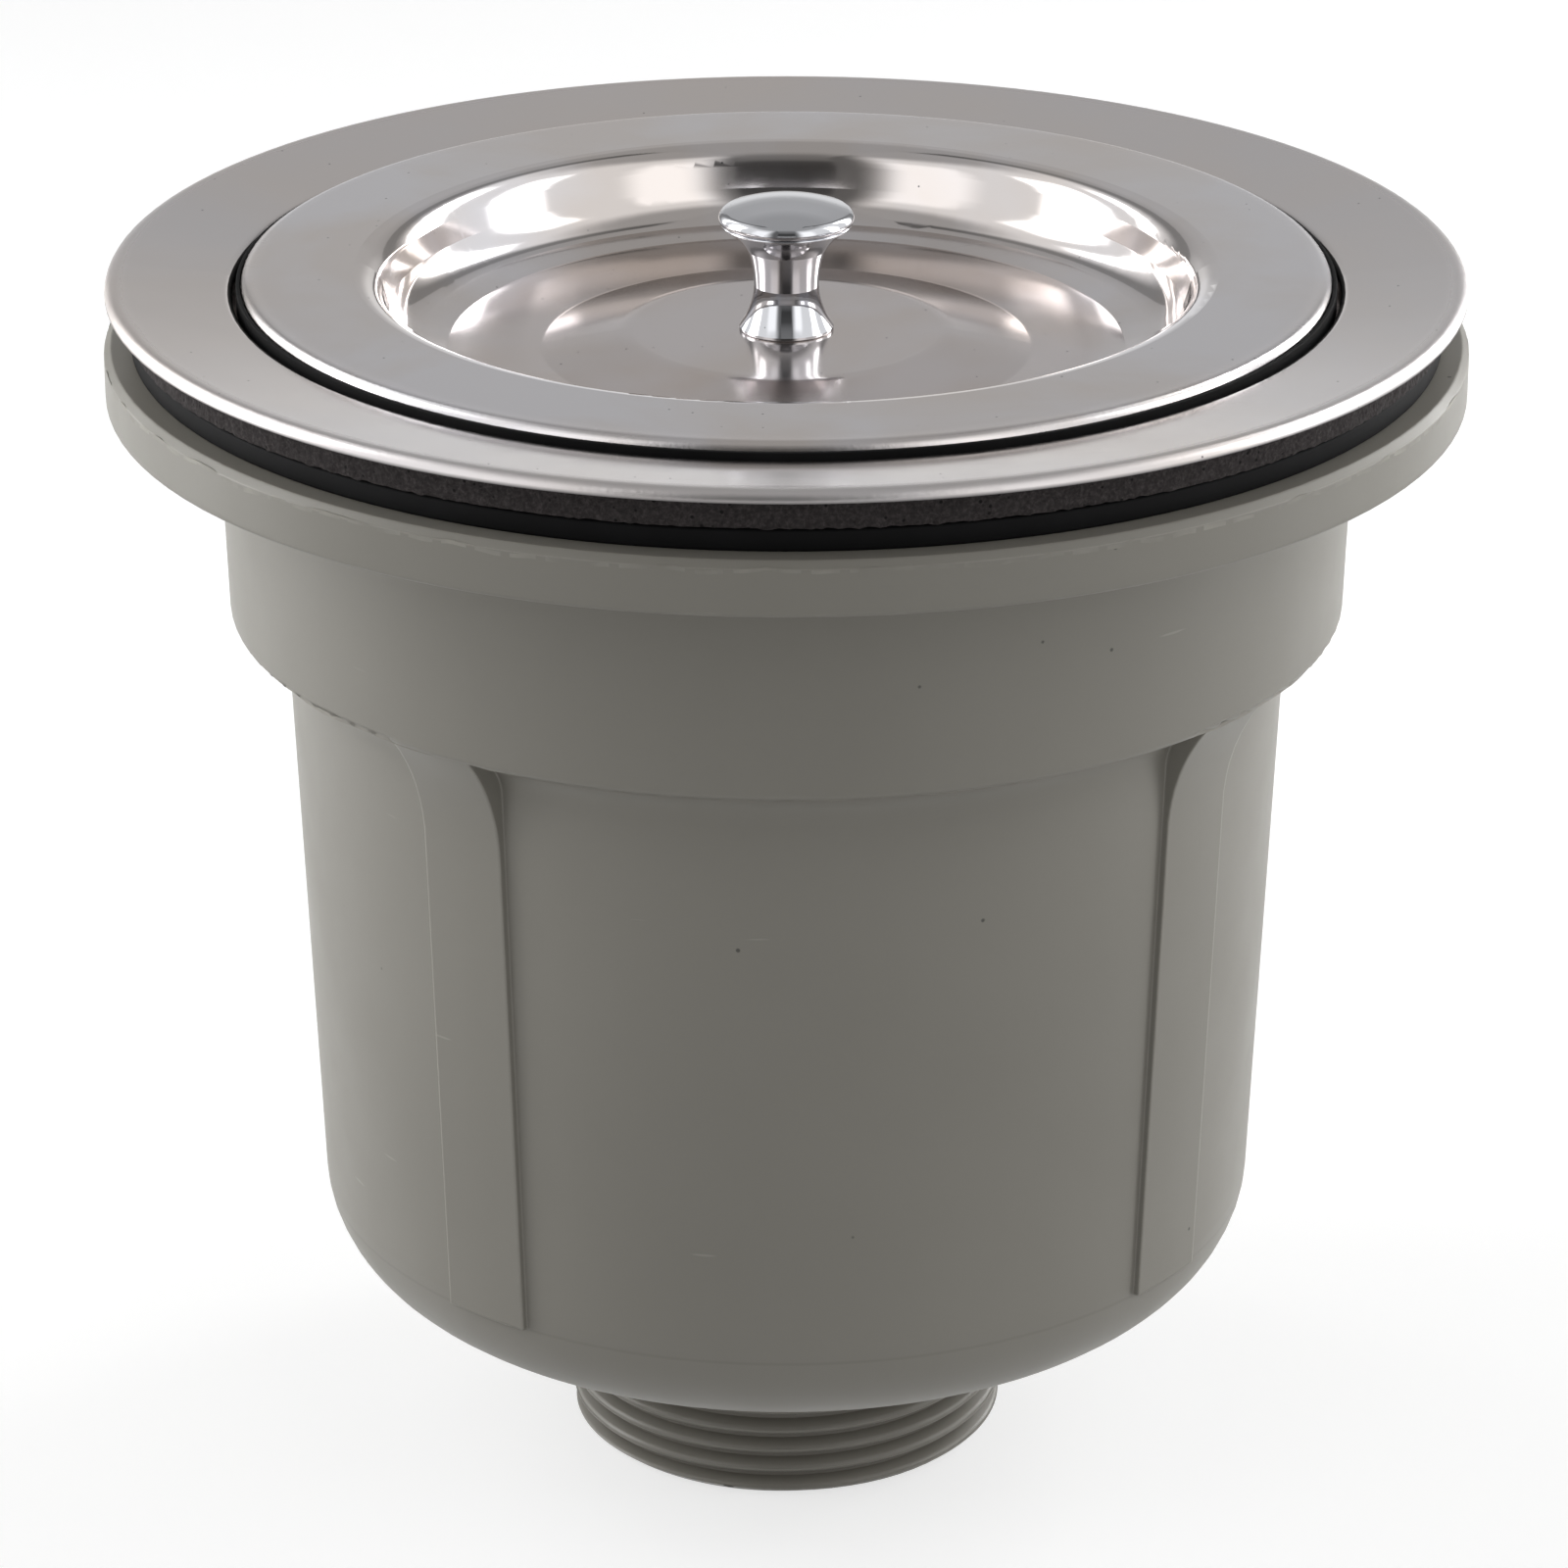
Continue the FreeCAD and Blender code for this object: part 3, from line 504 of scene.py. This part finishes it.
def rolled_stainless(colour, stain):
    """Rolled stainless sheet, pressed to shape."""
    # The mill's bright rolled skin mirrors softly. Water dried on it in brownish clouds, and where the sheet
    # was turned down at the brim its grains show as pebbles, as orange peel. Its waves are a few hundredths
    # deep. The sheared edge under the brim is dull, and its colour is darkened there as painted shade.
    material, tree, place, tone, gloss, relief = pressed_steel(
        "rolled_stainless", colour, stain, 42, (0.12, 0.19), FLANGE_HIGH.x, 0.2, 0.02)
    waves = add_node(tree, "ShaderNodeTexNoise", {"Vector": place, "Scale": PER_MM / 26, "Detail": 2.0})
    relief = add_node(tree, "ShaderNodeBump", {"Height": waves.outputs["Fac"], "Distance": 0.02 * MM,
                                               "Normal": relief})
    parts = add_node(tree, "ShaderNodeSeparateXYZ", {0: place})
    low = add_node(tree, "ShaderNodeMapRange", {"Value": parts.outputs["Z"],
                                                "From Min": BRIM_BOTTOM + 0.15 * MM,
                                                "From Max": BRIM_BOTTOM + 0.5 * MM,
                                                "To Min": 1.0, "To Max": 0.0})
    outside = add_node(tree, "ShaderNodeMath", {0: radius(tree, place), 1: FLANGE_HIGH.x - 2 * MM},
                       operation="GREATER_THAN")
    # Painted shade: the lowest band of the brim's outer edge is painted dark, and the same band is made
    # duller.
    dull_and_shaded_edge = add_node(tree, "ShaderNodeMath", {0: low.outputs[0], 1: outside.outputs[0]},
                       operation="MULTIPLY")
    tone = add_node(tree, "ShaderNodeMix", {0: dull_and_shaded_edge.outputs[0], 6: tone, 7: shade(colour, 0.3)},
                    data_type="RGBA")
    gloss = add_node(tree, "ShaderNodeMath", {0: dull_and_shaded_edge.outputs[0], 1: 0.3, 2: gloss},
                     operation="MULTIPLY_ADD")
    surface(tree, Base_Color=tone.outputs[2], Metallic=1.0, Roughness=gloss.outputs[0],
            Normal=relief.outputs[0])
    return material


def polished_stainless(colour, stain):
    """Pressed stainless sheet, polished."""
    # Buffed to a clear mirror that still has hairlines, dust and a dried haze. The wheel doesn't reach the
    # bowl's floor round the knob, which stays a little dull and brownish, and the bent edge is pebbled.
    material, tree, place, tone, gloss, relief = pressed_steel(
        "polished_stainless", colour, stain, 30, (0.06, 0.11), LID_HIGH.x, 0.17, 0.012)
    dull = add_node(tree, "ShaderNodeMapRange", {"Value": radius(tree, place), "From Min": DULL_FLOOR_R[0],
                                                 "From Max": DULL_FLOOR_R[1], "To Min": 1.0, "To Max": 0.0})
    gloss = add_node(tree, "ShaderNodeMath", {0: dull.outputs[0], 1: 0.06, 2: gloss},
                     operation="MULTIPLY_ADD")
    tone = add_node(tree, "ShaderNodeMix", {0: dull.outputs[0], 6: tone, 7: linear("#F2EDE9")},
                    data_type="RGBA", blend_type="MULTIPLY")
    surface(tree, Base_Color=tone.outputs[2], Metallic=1.0, Roughness=gloss.outputs[0], Normal=relief)
    return material


def bright_chrome(colour):
    """Bright chrome plating on a turned knob."""
    # A sharp mirror. The tool's turning rings under the plating, drawn 0.35 mm wide to show at all, break
    # its stripes a little, and fine dust lies on it.
    material, tree, place = new_finish("bright_chrome")
    film = add_node(tree, "ShaderNodeTexNoise", {"Vector": place, "Scale": PER_MM / 2.5, "Detail": 3.0})
    gloss = add_node(tree, "ShaderNodeMapRange", {"Value": film.outputs["Fac"], "From Min": 0.35,
                                                  "From Max": 0.75, "To Min": 0.03, "To Max": 0.07})
    dust = marks(tree, place, (1.2, 1.2, 1.2), 0.08, 0.4)
    tone = add_node(tree, "ShaderNodeMix", {0: dust, 6: colour, 7: shade(colour, 0.35)}, data_type="RGBA")
    parts = add_node(tree, "ShaderNodeSeparateXYZ", {0: place})
    rings = add_node(tree, "ShaderNodeTexNoise", {"W": parts.outputs["Z"], "Scale": PER_MM / 0.35,
                                                  "Detail": 1.0}, noise_dimensions="1D")
    relief = add_node(tree, "ShaderNodeBump", {"Height": rings.outputs["Fac"], "Distance": 0.0008 * MM})
    surface(tree, Base_Color=tone.outputs[2], Metallic=1.0, Roughness=gloss.outputs[0],
            Normal=relief.outputs[0])
    return material


def closed_cell_foam(colour):
    """Die-cut closed-cell polyethylene foam."""
    # Matt and dark: the cut opens cells of a few tenths, some of them black holes, and pale dust sits in
    # others.
    material, tree, place = new_finish("closed_cell_foam")
    grain = add_node(tree, "ShaderNodeTexNoise", {"Vector": place, "Scale": PER_MM / 0.45, "Detail": 4.0,
                                                  "Roughness": 0.7})
    tone = add_node(tree, "ShaderNodeValToRGB", {"Fac": grain.outputs["Fac"]},
                    stops=((0.3, shade(colour, 0.55)), (0.5, colour), (0.62, shade(colour, 1.5)),
                           (0.8, shade(colour, 2.4))))
    holes = marks(tree, place, (0.9, 0.9, 0.9), 0.24, 0.3)
    tone = add_node(tree, "ShaderNodeMix", {0: holes, 6: tone.outputs[0], 7: shade(colour, 0.15)},
                    data_type="RGBA")
    cells = add_node(tree, "ShaderNodeTexVoronoi", {"Vector": place, "Scale": PER_MM / 0.5})
    relief = add_node(tree, "ShaderNodeBump", {"Height": cells.outputs["Distance"], "Distance": 0.08 * MM})
    surface(tree, Base_Color=tone.outputs[2], Roughness=0.9, IOR=1.5, Specular_IOR_Level=0.25,
            Normal=relief.outputs[0])
    return material


def black_rubber(colour):
    """Moulded nitrile rubber."""
    # Nearly black and dull, with a faint grey bloom that came out of it in clouds.
    material, tree, place = new_finish("black_rubber")
    bloom = add_node(tree, "ShaderNodeTexNoise", {"Vector": place, "Scale": PER_MM / 6, "Detail": 4.0})
    tone = add_node(tree, "ShaderNodeValToRGB", {"Fac": bloom.outputs["Fac"]},
                    stops=((0.45, colour), (0.8, shade(colour, 1.8))))
    skin = add_node(tree, "ShaderNodeTexNoise", {"Vector": place, "Scale": PER_MM / 0.4, "Detail": 2.0})
    relief = add_node(tree, "ShaderNodeBump", {"Height": skin.outputs["Fac"], "Distance": 0.008 * MM})
    surface(tree, Base_Color=tone.outputs[0], Roughness=0.7, IOR=1.52, Specular_IOR_Level=0.12,
            Normal=relief.outputs[0])
    return material


def satin_stainless(colour):
    """Punched stainless sheet, tumbled."""
    # Tumbling after the punch leaves an even satin with soft clouds, and a fine grain drawn 0.3 mm wide.
    material, tree, place = new_finish("satin_stainless")
    cloud = add_node(tree, "ShaderNodeTexNoise", {"Vector": place, "Scale": PER_MM / 12, "Detail": 4.0})
    tone = add_node(tree, "ShaderNodeValToRGB", {"Fac": cloud.outputs["Fac"]},
                    stops=((0.4, colour), (0.7, shade(colour, 0.86))))
    grain = add_node(tree, "ShaderNodeTexNoise", {"Vector": place, "Scale": PER_MM / 0.3, "Detail": 2.0})
    gloss = add_node(tree, "ShaderNodeMapRange", {"Value": cloud.outputs["Fac"], "From Min": 0.3,
                                                  "From Max": 0.7, "To Min": 0.24, "To Max": 0.34})
    relief = add_node(tree, "ShaderNodeBump", {"Height": grain.outputs["Fac"], "Distance": 0.003 * MM})
    surface(tree, Base_Color=tone.outputs[0], Metallic=1.0, Roughness=gloss.outputs[0],
            Normal=relief.outputs[0])
    return material


def drawn_stainless(colour):
    """Drawn stainless wire and turned stainless rod."""
    # Bright, with the fine lines that the die and the tool leave, drawn 0.15 mm apart.
    material, tree, place = new_finish("drawn_stainless")
    cloud = add_node(tree, "ShaderNodeTexNoise", {"Vector": place, "Scale": PER_MM / 5, "Detail": 3.0})
    tone = add_node(tree, "ShaderNodeValToRGB", {"Fac": cloud.outputs["Fac"]},
                    stops=((0.4, colour), (0.7, shade(colour, 0.9))))
    laid = add_node(tree, "ShaderNodeMapping", {"Vector": place, "Scale": (0.1, 1, 1)})
    lines = add_node(tree, "ShaderNodeTexNoise", {"Vector": laid.outputs[0], "Scale": PER_MM / 0.15,
                                                  "Detail": 2.0})
    gloss = add_node(tree, "ShaderNodeMapRange", {"Value": cloud.outputs["Fac"], "From Min": 0.3,
                                                  "From Max": 0.7, "To Min": 0.18, "To Max": 0.28})
    relief = add_node(tree, "ShaderNodeBump", {"Height": lines.outputs["Fac"], "Distance": 0.003 * MM})
    surface(tree, Base_Color=tone.outputs[0], Metallic=1.0, Roughness=gloss.outputs[0],
            Normal=relief.outputs[0])
    return material


class SINKWASTE_OT_finishes(bpy.types.Operator):
    """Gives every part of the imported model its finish"""

    bl_idname = "sinkwaste.finishes"
    bl_label = "Finishes"

    def execute(self, context):
        finish = settings("finish")
        stain = tuple(finish.stain)
        finish_nodes(moulded_polypropylene(tuple(finish.plastic)), "body")
        finish_nodes(rolled_stainless(tuple(finish.steel), stain), "flange")
        finish_nodes(polished_stainless(tuple(finish.polished), stain), "lid")
        finish_nodes(bright_chrome(tuple(finish.chrome)), "knob")
        finish_nodes(closed_cell_foam(tuple(finish.foam)), "foam_gasket")
        finish_nodes(black_rubber(tuple(finish.rubber)), "rubber_gasket", "lid_seal_ring")
        finish_nodes(satin_stainless(tuple(finish.steel)), "basket", "handle_lug_right", "handle_lug_left")
        finish_nodes(drawn_stainless(tuple(finish.steel)), "basket_handle", "knob_screw", "knob_washer")
        return {"FINISHED"}


class SINKWASTE_OT_spout_thread(bpy.types.Operator):
    """Makes the pipe thread's ridge round the spout"""

    bl_idname = "sinkwaste.spout_thread"
    bl_label = "Spout thread"

    def execute(self, context):
        thread = settings("thread")
        sunk = thread.core_radius - 0.1 * MM
        half_base = 1.0 * MM
        crest_share = 0.3
        # The ridge starts at the right, three quarters of a turn before the front, and a turn lower.
        turns_before = 1.75
        turns = 10
        steps_a_turn = 120
        middle = thread.first_crest - turns_before * thread.pitch
        piece = new_section("spout_thread", sunk, thread.crest_radius, middle - half_base, middle + half_base)
        pick(piece, lambda co: co.x > (sunk + thread.crest_radius) / 2)
        bpy.ops.transform.resize(value=(1, 1, crest_share), center_override=(thread.crest_radius, 0, middle))
        bpy.ops.mesh.bevel(offset=thread.crest_round, segments=5, affect="VERTICES")
        bpy.ops.mesh.select_all(action="SELECT")
        bpy.ops.mesh.delete(type="ONLY_FACE")
        bpy.ops.object.mode_set(mode="OBJECT")
        screw = piece.modifiers.new("screw", "SCREW")
        screw.axis = "Z"
        screw.angle = FULL_TURN
        screw.screw_offset = thread.pitch
        screw.iterations = turns
        screw.steps = screw.render_steps = steps_a_turn
        screw.use_merge_vertices = False
        bpy.ops.object.modifier_apply(modifier="screw")
        bpy.ops.object.mode_set(mode="EDIT")
        bpy.ops.mesh.select_all(action="SELECT")
        bpy.ops.mesh.remove_doubles(threshold=MERGE_WITHIN)
        bpy.ops.mesh.select_all(action="SELECT")
        bpy.ops.mesh.fill_holes(sides=0)
        close_mesh(piece)

        envelope = thread_envelope(thread)
        deselect_all()
        piece.select_set(True)
        context.view_layer.objects.active = piece
        cut = piece.modifiers.new("cut", "BOOLEAN")
        cut.operation = "INTERSECT"
        cut.solver = "MANIFOLD"
        cut.object = envelope
        bpy.ops.object.modifier_apply(modifier="cut")
        bpy.data.objects.remove(envelope)
        bpy.ops.object.mode_set(mode="EDIT")
        close_mesh(piece)
        dress(piece, frame["nodes"]["body"].material_slots[0].material, 40)
        return {"FINISHED"}


def thread_envelope(thread):
    """What the thread is cut to: a barrel with a chamfer below and a long taper above."""
    clear = 0.3 * MM
    end_reach = thread.core_radius + 0.2 * MM
    run_out_reach = thread.core_radius - 0.15 * MM
    wide = thread.crest_radius + clear
    deselect_all()
    bpy.ops.mesh.primitive_cylinder_add(vertices=RING_STEPS, radius=wide,
                                        depth=thread.run_out - thread.chamfer,
                                        location=(0, 0, (thread.run_out + thread.chamfer) / 2))
    envelope = bpy.context.object
    bpy.ops.object.transform_apply(location=True)
    bpy.ops.object.mode_set(mode="EDIT")
    end = 0.02 * MM
    for level, step, reach in ((thread.chamfer, end - thread.chamfer, end_reach),
                               (thread.run_out, thread.top - thread.run_out, run_out_reach)):
        pick(envelope, lambda co: abs(co.z - level) < end / 2)
        bpy.ops.mesh.extrude_region_move(TRANSFORM_OT_translate={"value": (0, 0, step)})
        bpy.ops.transform.resize(value=(reach / wide, reach / wide, 1), center_override=(0, 0, 0))
    bpy.ops.object.mode_set(mode="OBJECT")
    return envelope


class SINKWASTE_OT_foam_ring(bpy.types.Operator):
    """Makes the foam gasket under the brim, with its cut and slightly torn outer face"""

    bl_idname = "sinkwaste.foam_ring"
    bl_label = "Foam gasket"

    def execute(self, context):
        rings = settings("rings")
        cut_round = 0.25 * MM
        piece = new_section("foam_ring", RING_BORE_R, FOAM_HIGH.x, FOAM_LOW.z, FOAM_HIGH.z)
        pick(piece, lambda co: co.x < RING_BORE_R + MM and co.z > FOAM_LOW.z + MM)
        bpy.ops.transform.translate(value=(0, 0, FOAM_INNER_TOP - FOAM_HIGH.z))
        pick(piece, lambda co: co.x > FOAM_HIGH.x - MM)
        bpy.ops.mesh.bevel(offset=cut_round, segments=2, affect="VERTICES")
        pick(piece, lambda co: co.x > FOAM_HIGH.x - 0.01 * MM)
        bpy.ops.mesh.subdivide(number_cuts=8)
        spin_section(piece, FOAM_STEPS)
        roughen(piece, rings.foam_cell, rings.foam_tear, mid_level=1.15, direction="NORMAL", contrast=1.6)
        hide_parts("foam_gasket")
        dress(piece, frame["nodes"]["foam_gasket"].material_slots[0].material, 50)
        return {"FINISHED"}


class SINKWASTE_OT_rubber_rings(bpy.types.Operator):
    """Makes the rubber ring on the cup's rim, and the soft ring under the lid with its upright lip"""

    bl_idname = "sinkwaste.rubber_rings"
    bl_label = "Rubber rings"

    def execute(self, context):
        rings = settings("rings")
        clear = 0.1 * MM
        for name, node, inner, outer, bottom, top, corner in (
                ("rubber_ring", "rubber_gasket", RING_BORE_R, RUBBER_HIGH.x, RUBBER_LOW.z, RUBBER_HIGH.z,
                 rings.rubber_round),
                ("seal_ring", "lid_seal_ring", SEAL_BORE_R, SEAL_HIGH.x, SEAL_LOW.z, SEAL_HIGH.z,
                 rings.seal_round),
                ("seal_lip", None, LID_HIGH.x + clear, SEAL_HIGH.x + clear, SEAL_LOW.z + rings.seal_round,
                 rings.lip_top, clear)):
            piece = new_section(name, inner, outer, bottom, top)
            bpy.ops.mesh.select_all(action="SELECT")
            bpy.ops.mesh.bevel(offset=corner, segments=4, affect="VERTICES")
            spin_section(piece, RING_STEPS)
            if node:
                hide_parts(node)
            dress(piece, frame["nodes"]["lid_seal_ring"].material_slots[0].material, 35)
        return {"FINISHED"}


class SINKWASTE_OT_mould_flash(bpy.types.Operator):
    """Makes the thin broken flash along the cup's shoulder and along the top of its rim"""

    bl_idname = "sinkwaste.mould_flash"
    bl_label = "Mould flash"

    def execute(self, context):
        flash = settings("rings").flash
        material = whitened_flash(tuple(settings("finish").plastic))
        # Each band reaches from inside the plastic, past the cup's edge, to where the flash ends.
        shoulder_inner = 57.68 * MM
        shoulder_root = 95.6 * MM
        rim_inner = BODY_HIGH.x - 0.24 * MM
        rim_outer = BODY_HIGH.x - 0.01 * MM
        rim_root = RIM_EDGE_Z - 0.3 * MM
        tip_share = 0.5
        lump = 6.5 * MM
        stretch = 3.0
        for name, inner, outer, bottom, top, lean, contrast in (
                ("shoulder_flash", shoulder_inner, SHOULDER_EDGE_R, SHOULDER_EDGE_Z - flash, shoulder_root,
                 -1, 1.5),
                ("rim_flash", rim_inner, rim_outer, rim_root, RIM_EDGE_Z + flash, 1, 3.0)):
            piece = new_section(name, inner, outer, bottom, top)
            tip = top if lean > 0 else bottom
            pick(piece, lambda co: abs(co.z - tip) < 0.01 * MM)
            bpy.ops.transform.resize(value=(tip_share, 1, 1), center_override=(outer, 0, tip))
            spin_section(piece, FLASH_STEPS)
            roughen(piece, lump, stretch * flash * lean, mid_level=0.95, direction="Z", contrast=contrast)
            dress(piece, material, 60)
        return {"FINISHED"}


class SINKWASTE_OT_stage(bpy.types.Operator):
    """Sets the floor, the lights, the world and the camera"""

    bl_idname = "sinkwaste.stage"
    bl_label = "Studio"

    def execute(self, context):
        studio = settings("studio")
        scene = context.scene
        scene.view_settings.view_transform = "Standard"
        studio_floor()
        studio_room(scene, studio.ambient)
        light_wall("light_wall_left", -1, LEFT_FADE_IN, LEFT_LAMPS, studio.side_light)
        light_wall("light_wall_right", 1, RIGHT_FADE_IN, RIGHT_LAMPS, studio.side_light)

        data = bpy.data.cameras.new("camera")
        data.sensor_width = 36
        data.lens = studio.lens
        camera = bpy.data.objects.new("camera", data)
        scene.collection.objects.link(camera)
        camera.location = (-studio.camera_aside, -studio.camera_distance, studio.camera_height)
        camera.rotation_euler = (math.pi / 2 - studio.camera_pitch, 0, 0)
        scene.camera = camera
        return {"FINISHED"}


def sees_backdrop(tree):
    """1 for the rays that show the background: from the camera, in reflections and through glass."""
    ray = add_node(tree, "ShaderNodeLightPath")
    bright = add_node(tree, "ShaderNodeMath", {0: ray.outputs["Is Glossy Ray"],
                                               1: ray.outputs["Is Transmission Ray"]}, operation="MAXIMUM")
    return add_node(tree, "ShaderNodeMath", {0: ray.outputs["Is Camera Ray"], 1: bright.outputs[0]},
                    operation="MAXIMUM").outputs[0]


def studio_floor():
    """A plain pale floor that looks white and keeps the object's shadow."""
    deselect_all()
    bpy.ops.mesh.primitive_plane_add(size=12, location=(0, 0, 0))
    floor = bpy.context.object
    floor.name = "floor"
    material, tree = new_finish("studio_floor")[:2]
    glow = add_node(tree, "ShaderNodeMath", {0: sees_backdrop(tree), 1: FLOOR_GLOW}, operation="MULTIPLY")
    surface(tree, Base_Color=linear("#B4B4B4"), Roughness=0.9, Specular_IOR_Level=0.1,
            Emission_Color=grey(1.0), Emission_Strength=glow.outputs[0])
    floor.data.materials.append(material)


def studio_room(scene, ambient):
    """A soft grey room: darkest round the camera, lightest low down behind the object."""
    world = bpy.data.worlds.new("studio")
    scene.world = world
    world.use_nodes = True
    tree = world.node_tree
    tree.nodes.clear()
    place = add_node(tree, "ShaderNodeTexCoord").outputs["Generated"]
    way = add_node(tree, "ShaderNodeSeparateXYZ", {0: place})
    aside = add_node(tree, "ShaderNodeMath", {0: way.outputs["X"]}, operation="ABSOLUTE")
    ahead = add_node(tree, "ShaderNodeMath", {0: way.outputs["Y"], 1: -1.0}, operation="MULTIPLY")
    turn = add_node(tree, "ShaderNodeMath", {0: aside.outputs[0], 1: ahead.outputs[0]}, operation="ARCTAN2")
    front = add_node(tree, "ShaderNodeValToRGB", {"Fac": way.outputs["Z"]},
                     stops=[(up, grey(level)) for up, level in FRONT_GREYS])
    back = add_node(tree, "ShaderNodeValToRGB", {"Fac": way.outputs["Z"]},
                    stops=[(up, grey(level)) for up, level in BACK_GREYS])
    seen = grey(ROOM_GREY)
    for (start, end), colours in ((FRONT_TURNS, front), (BACK_TURNS, back)):
        share = add_node(tree, "ShaderNodeMapRange", {"Value": turn.outputs[0],
                                                      "From Min": math.radians(start),
                                                      "From Max": math.radians(end)},
                         interpolation_type="SMOOTHSTEP")
        seen = add_node(tree, "ShaderNodeMix", {0: share.outputs[0], 6: seen, 7: colours.outputs[0]},
                        data_type="RGBA").outputs[2]
    room = add_node(tree, "ShaderNodeBackground", {"Color": grey(1.0), "Strength": ambient})
    shown = add_node(tree, "ShaderNodeBackground", {"Color": seen})
    mixed = add_node(tree, "ShaderNodeMixShader", {0: sees_backdrop(tree), 1: room.outputs[0],
                                                   2: shown.outputs[0]})
    add_node(tree, "ShaderNodeOutputWorld", {0: mixed.outputs[0]})


def light_wall(name, side, fade_in, lamps, brightness):
    """A cloth wall beside the object, lit from behind by lamps low down.

    Seen from the lid, the wall fades in over the two given turns from the camera's side, and each lamp
    has its turn, half width and strength.
    """
    deselect_all()
    middle = (side * WALL_AWAY, (WALL_FRONT + WALL_BACK) / 2, WALL_TOP / 2)
    bpy.ops.mesh.primitive_plane_add(size=1, location=middle, rotation=(0, math.pi / 2, 0))
    wall = bpy.context.object
    wall.name = name
    wall.scale = (WALL_TOP, WALL_BACK - WALL_FRONT, 1)
    bpy.ops.object.transform_apply(location=True, rotation=True, scale=True)
    material, tree, place = new_finish(name)
    way = add_node(tree, "ShaderNodeVectorMath", {0: place, 1: (side, -1, 1)}, operation="MULTIPLY")
    way = add_node(tree, "ShaderNodeSeparateXYZ", {0: way.outputs[0]})
    turn = add_node(tree, "ShaderNodeMath", {0: way.outputs["X"], 1: way.outputs["Y"]},
                    operation="ARCTAN2").outputs[0]
    rise = add_node(tree, "ShaderNodeMath", {0: way.outputs["Z"], 1: LID_HIGH.z}, operation="SUBTRACT")
    rise = add_node(tree, "ShaderNodeMath", {0: rise.outputs[0], 1: radius(tree, place)},
                    operation="ARCTAN2").outputs[0]
    low = add_node(tree, "ShaderNodeMapRange", {"Value": rise,
                                                "From Min": math.radians(LAMPS_FADE_UP[0]),
                                                "From Max": math.radians(LAMPS_FADE_UP[1]),
                                                "To Min": 1.0, "To Max": 0.0},
                   interpolation_type="SMOOTHSTEP")
    level = WALL_LEVEL
    for lamp, half, strength in lamps:
        offset = add_node(tree, "ShaderNodeMath", {0: turn, 1: math.radians(lamp)}, operation="SUBTRACT")
        away = add_node(tree, "ShaderNodeMath", {0: offset.outputs[0]}, operation="ABSOLUTE")
        glow = add_node(tree, "ShaderNodeMapRange", {"Value": away.outputs[0],
                                                     "From Min": math.radians(half * LAMP_EDGE[0]),
                                                     "From Max": math.radians(half * LAMP_EDGE[1]),
                                                     "To Min": strength, "To Max": 0.0},
                        interpolation_type="SMOOTHSTEP")
        level = add_node(tree, "ShaderNodeMath", {0: low.outputs[0], 1: glow.outputs[0], 2: level},
                         operation="MULTIPLY_ADD").outputs[0]
    for value, (start, end), before, after in ((rise, WALLS_FADE_UP, brightness, HIGH_UP * brightness),
                                               (turn, fade_in, BESIDE_CAMERA, 1.0),
                                               (turn, FADE_OUT, 1.0, BEHIND)):
        fade = add_node(tree, "ShaderNodeMapRange", {"Value": value, "From Min": math.radians(start),
                                                     "From Max": math.radians(end), "To Min": before,
                                                     "To Max": after}, interpolation_type="SMOOTHSTEP")
        level = add_node(tree, "ShaderNodeMath", {0: level, 1: fade.outputs[0]},
                         operation="MULTIPLY").outputs[0]
    shown = add_node(tree, "ShaderNodeMath", {0: sees_backdrop(tree), 1: WALL_SHOWN, 2: 1.0},
                     operation="MULTIPLY_ADD")
    level = add_node(tree, "ShaderNodeMath", {0: level, 1: shown.outputs[0]}, operation="MULTIPLY").outputs[0]
    lit = add_node(tree, "ShaderNodeEmission", {"Color": grey(1.0), "Strength": level})
    add_node(tree, "ShaderNodeOutputMaterial", {0: lit.outputs[0]})
    wall.data.materials.append(material)
    wall.visible_camera = False


class SINKWASTE_PT_panel(bpy.types.Panel):
    """The sink waste's settings and steps"""

    bl_idname = "SINKWASTE_PT_panel"
    bl_label = "Sink waste"
    bl_space_type = "VIEW_3D"
    bl_region_type = "UI"
    bl_category = "Sink waste"

    def draw(self, context):
        for group in GROUPS:
            box = self.layout.box()
            for name in GROUPS[group].__annotations__:
                box.prop(settings(group), name)
        for step in STEPS:
            self.layout.operator(step.bl_idname)


GROUPS = {
    "thread": ThreadSettings,
    "rings": RingSettings,
    "finish": FinishSettings,
    "studio": StudioSettings,
}
STEPS = (SINKWASTE_OT_finishes, SINKWASTE_OT_spout_thread, SINKWASTE_OT_foam_ring, SINKWASTE_OT_rubber_rings,
         SINKWASTE_OT_mould_flash, SINKWASTE_OT_stage)


def register():
    for name, group in GROUPS.items():
        bpy.utils.register_class(group)
        setattr(bpy.types.Scene, "sink_waste_" + name, bpy.props.PointerProperty(type=group))
    for step in STEPS:
        bpy.utils.register_class(step)
    bpy.utils.register_class(SINKWASTE_PT_panel)


def unregister():
    bpy.utils.unregister_class(SINKWASTE_PT_panel)
    for step in reversed(STEPS):
        bpy.utils.unregister_class(step)
    for name, group in reversed(list(GROUPS.items())):
        delattr(bpy.types.Scene, "sink_waste_" + name)
        bpy.utils.unregister_class(group)


def main():
    """Makes everything in order."""
    register()
    bpy.ops.sinkwaste.finishes()
    bpy.ops.sinkwaste.spout_thread()
    bpy.ops.sinkwaste.foam_ring()
    bpy.ops.sinkwaste.rubber_rings()
    bpy.ops.sinkwaste.mould_flash()
    bpy.ops.sinkwaste.stage()


if __name__ == "__main__":
    main()
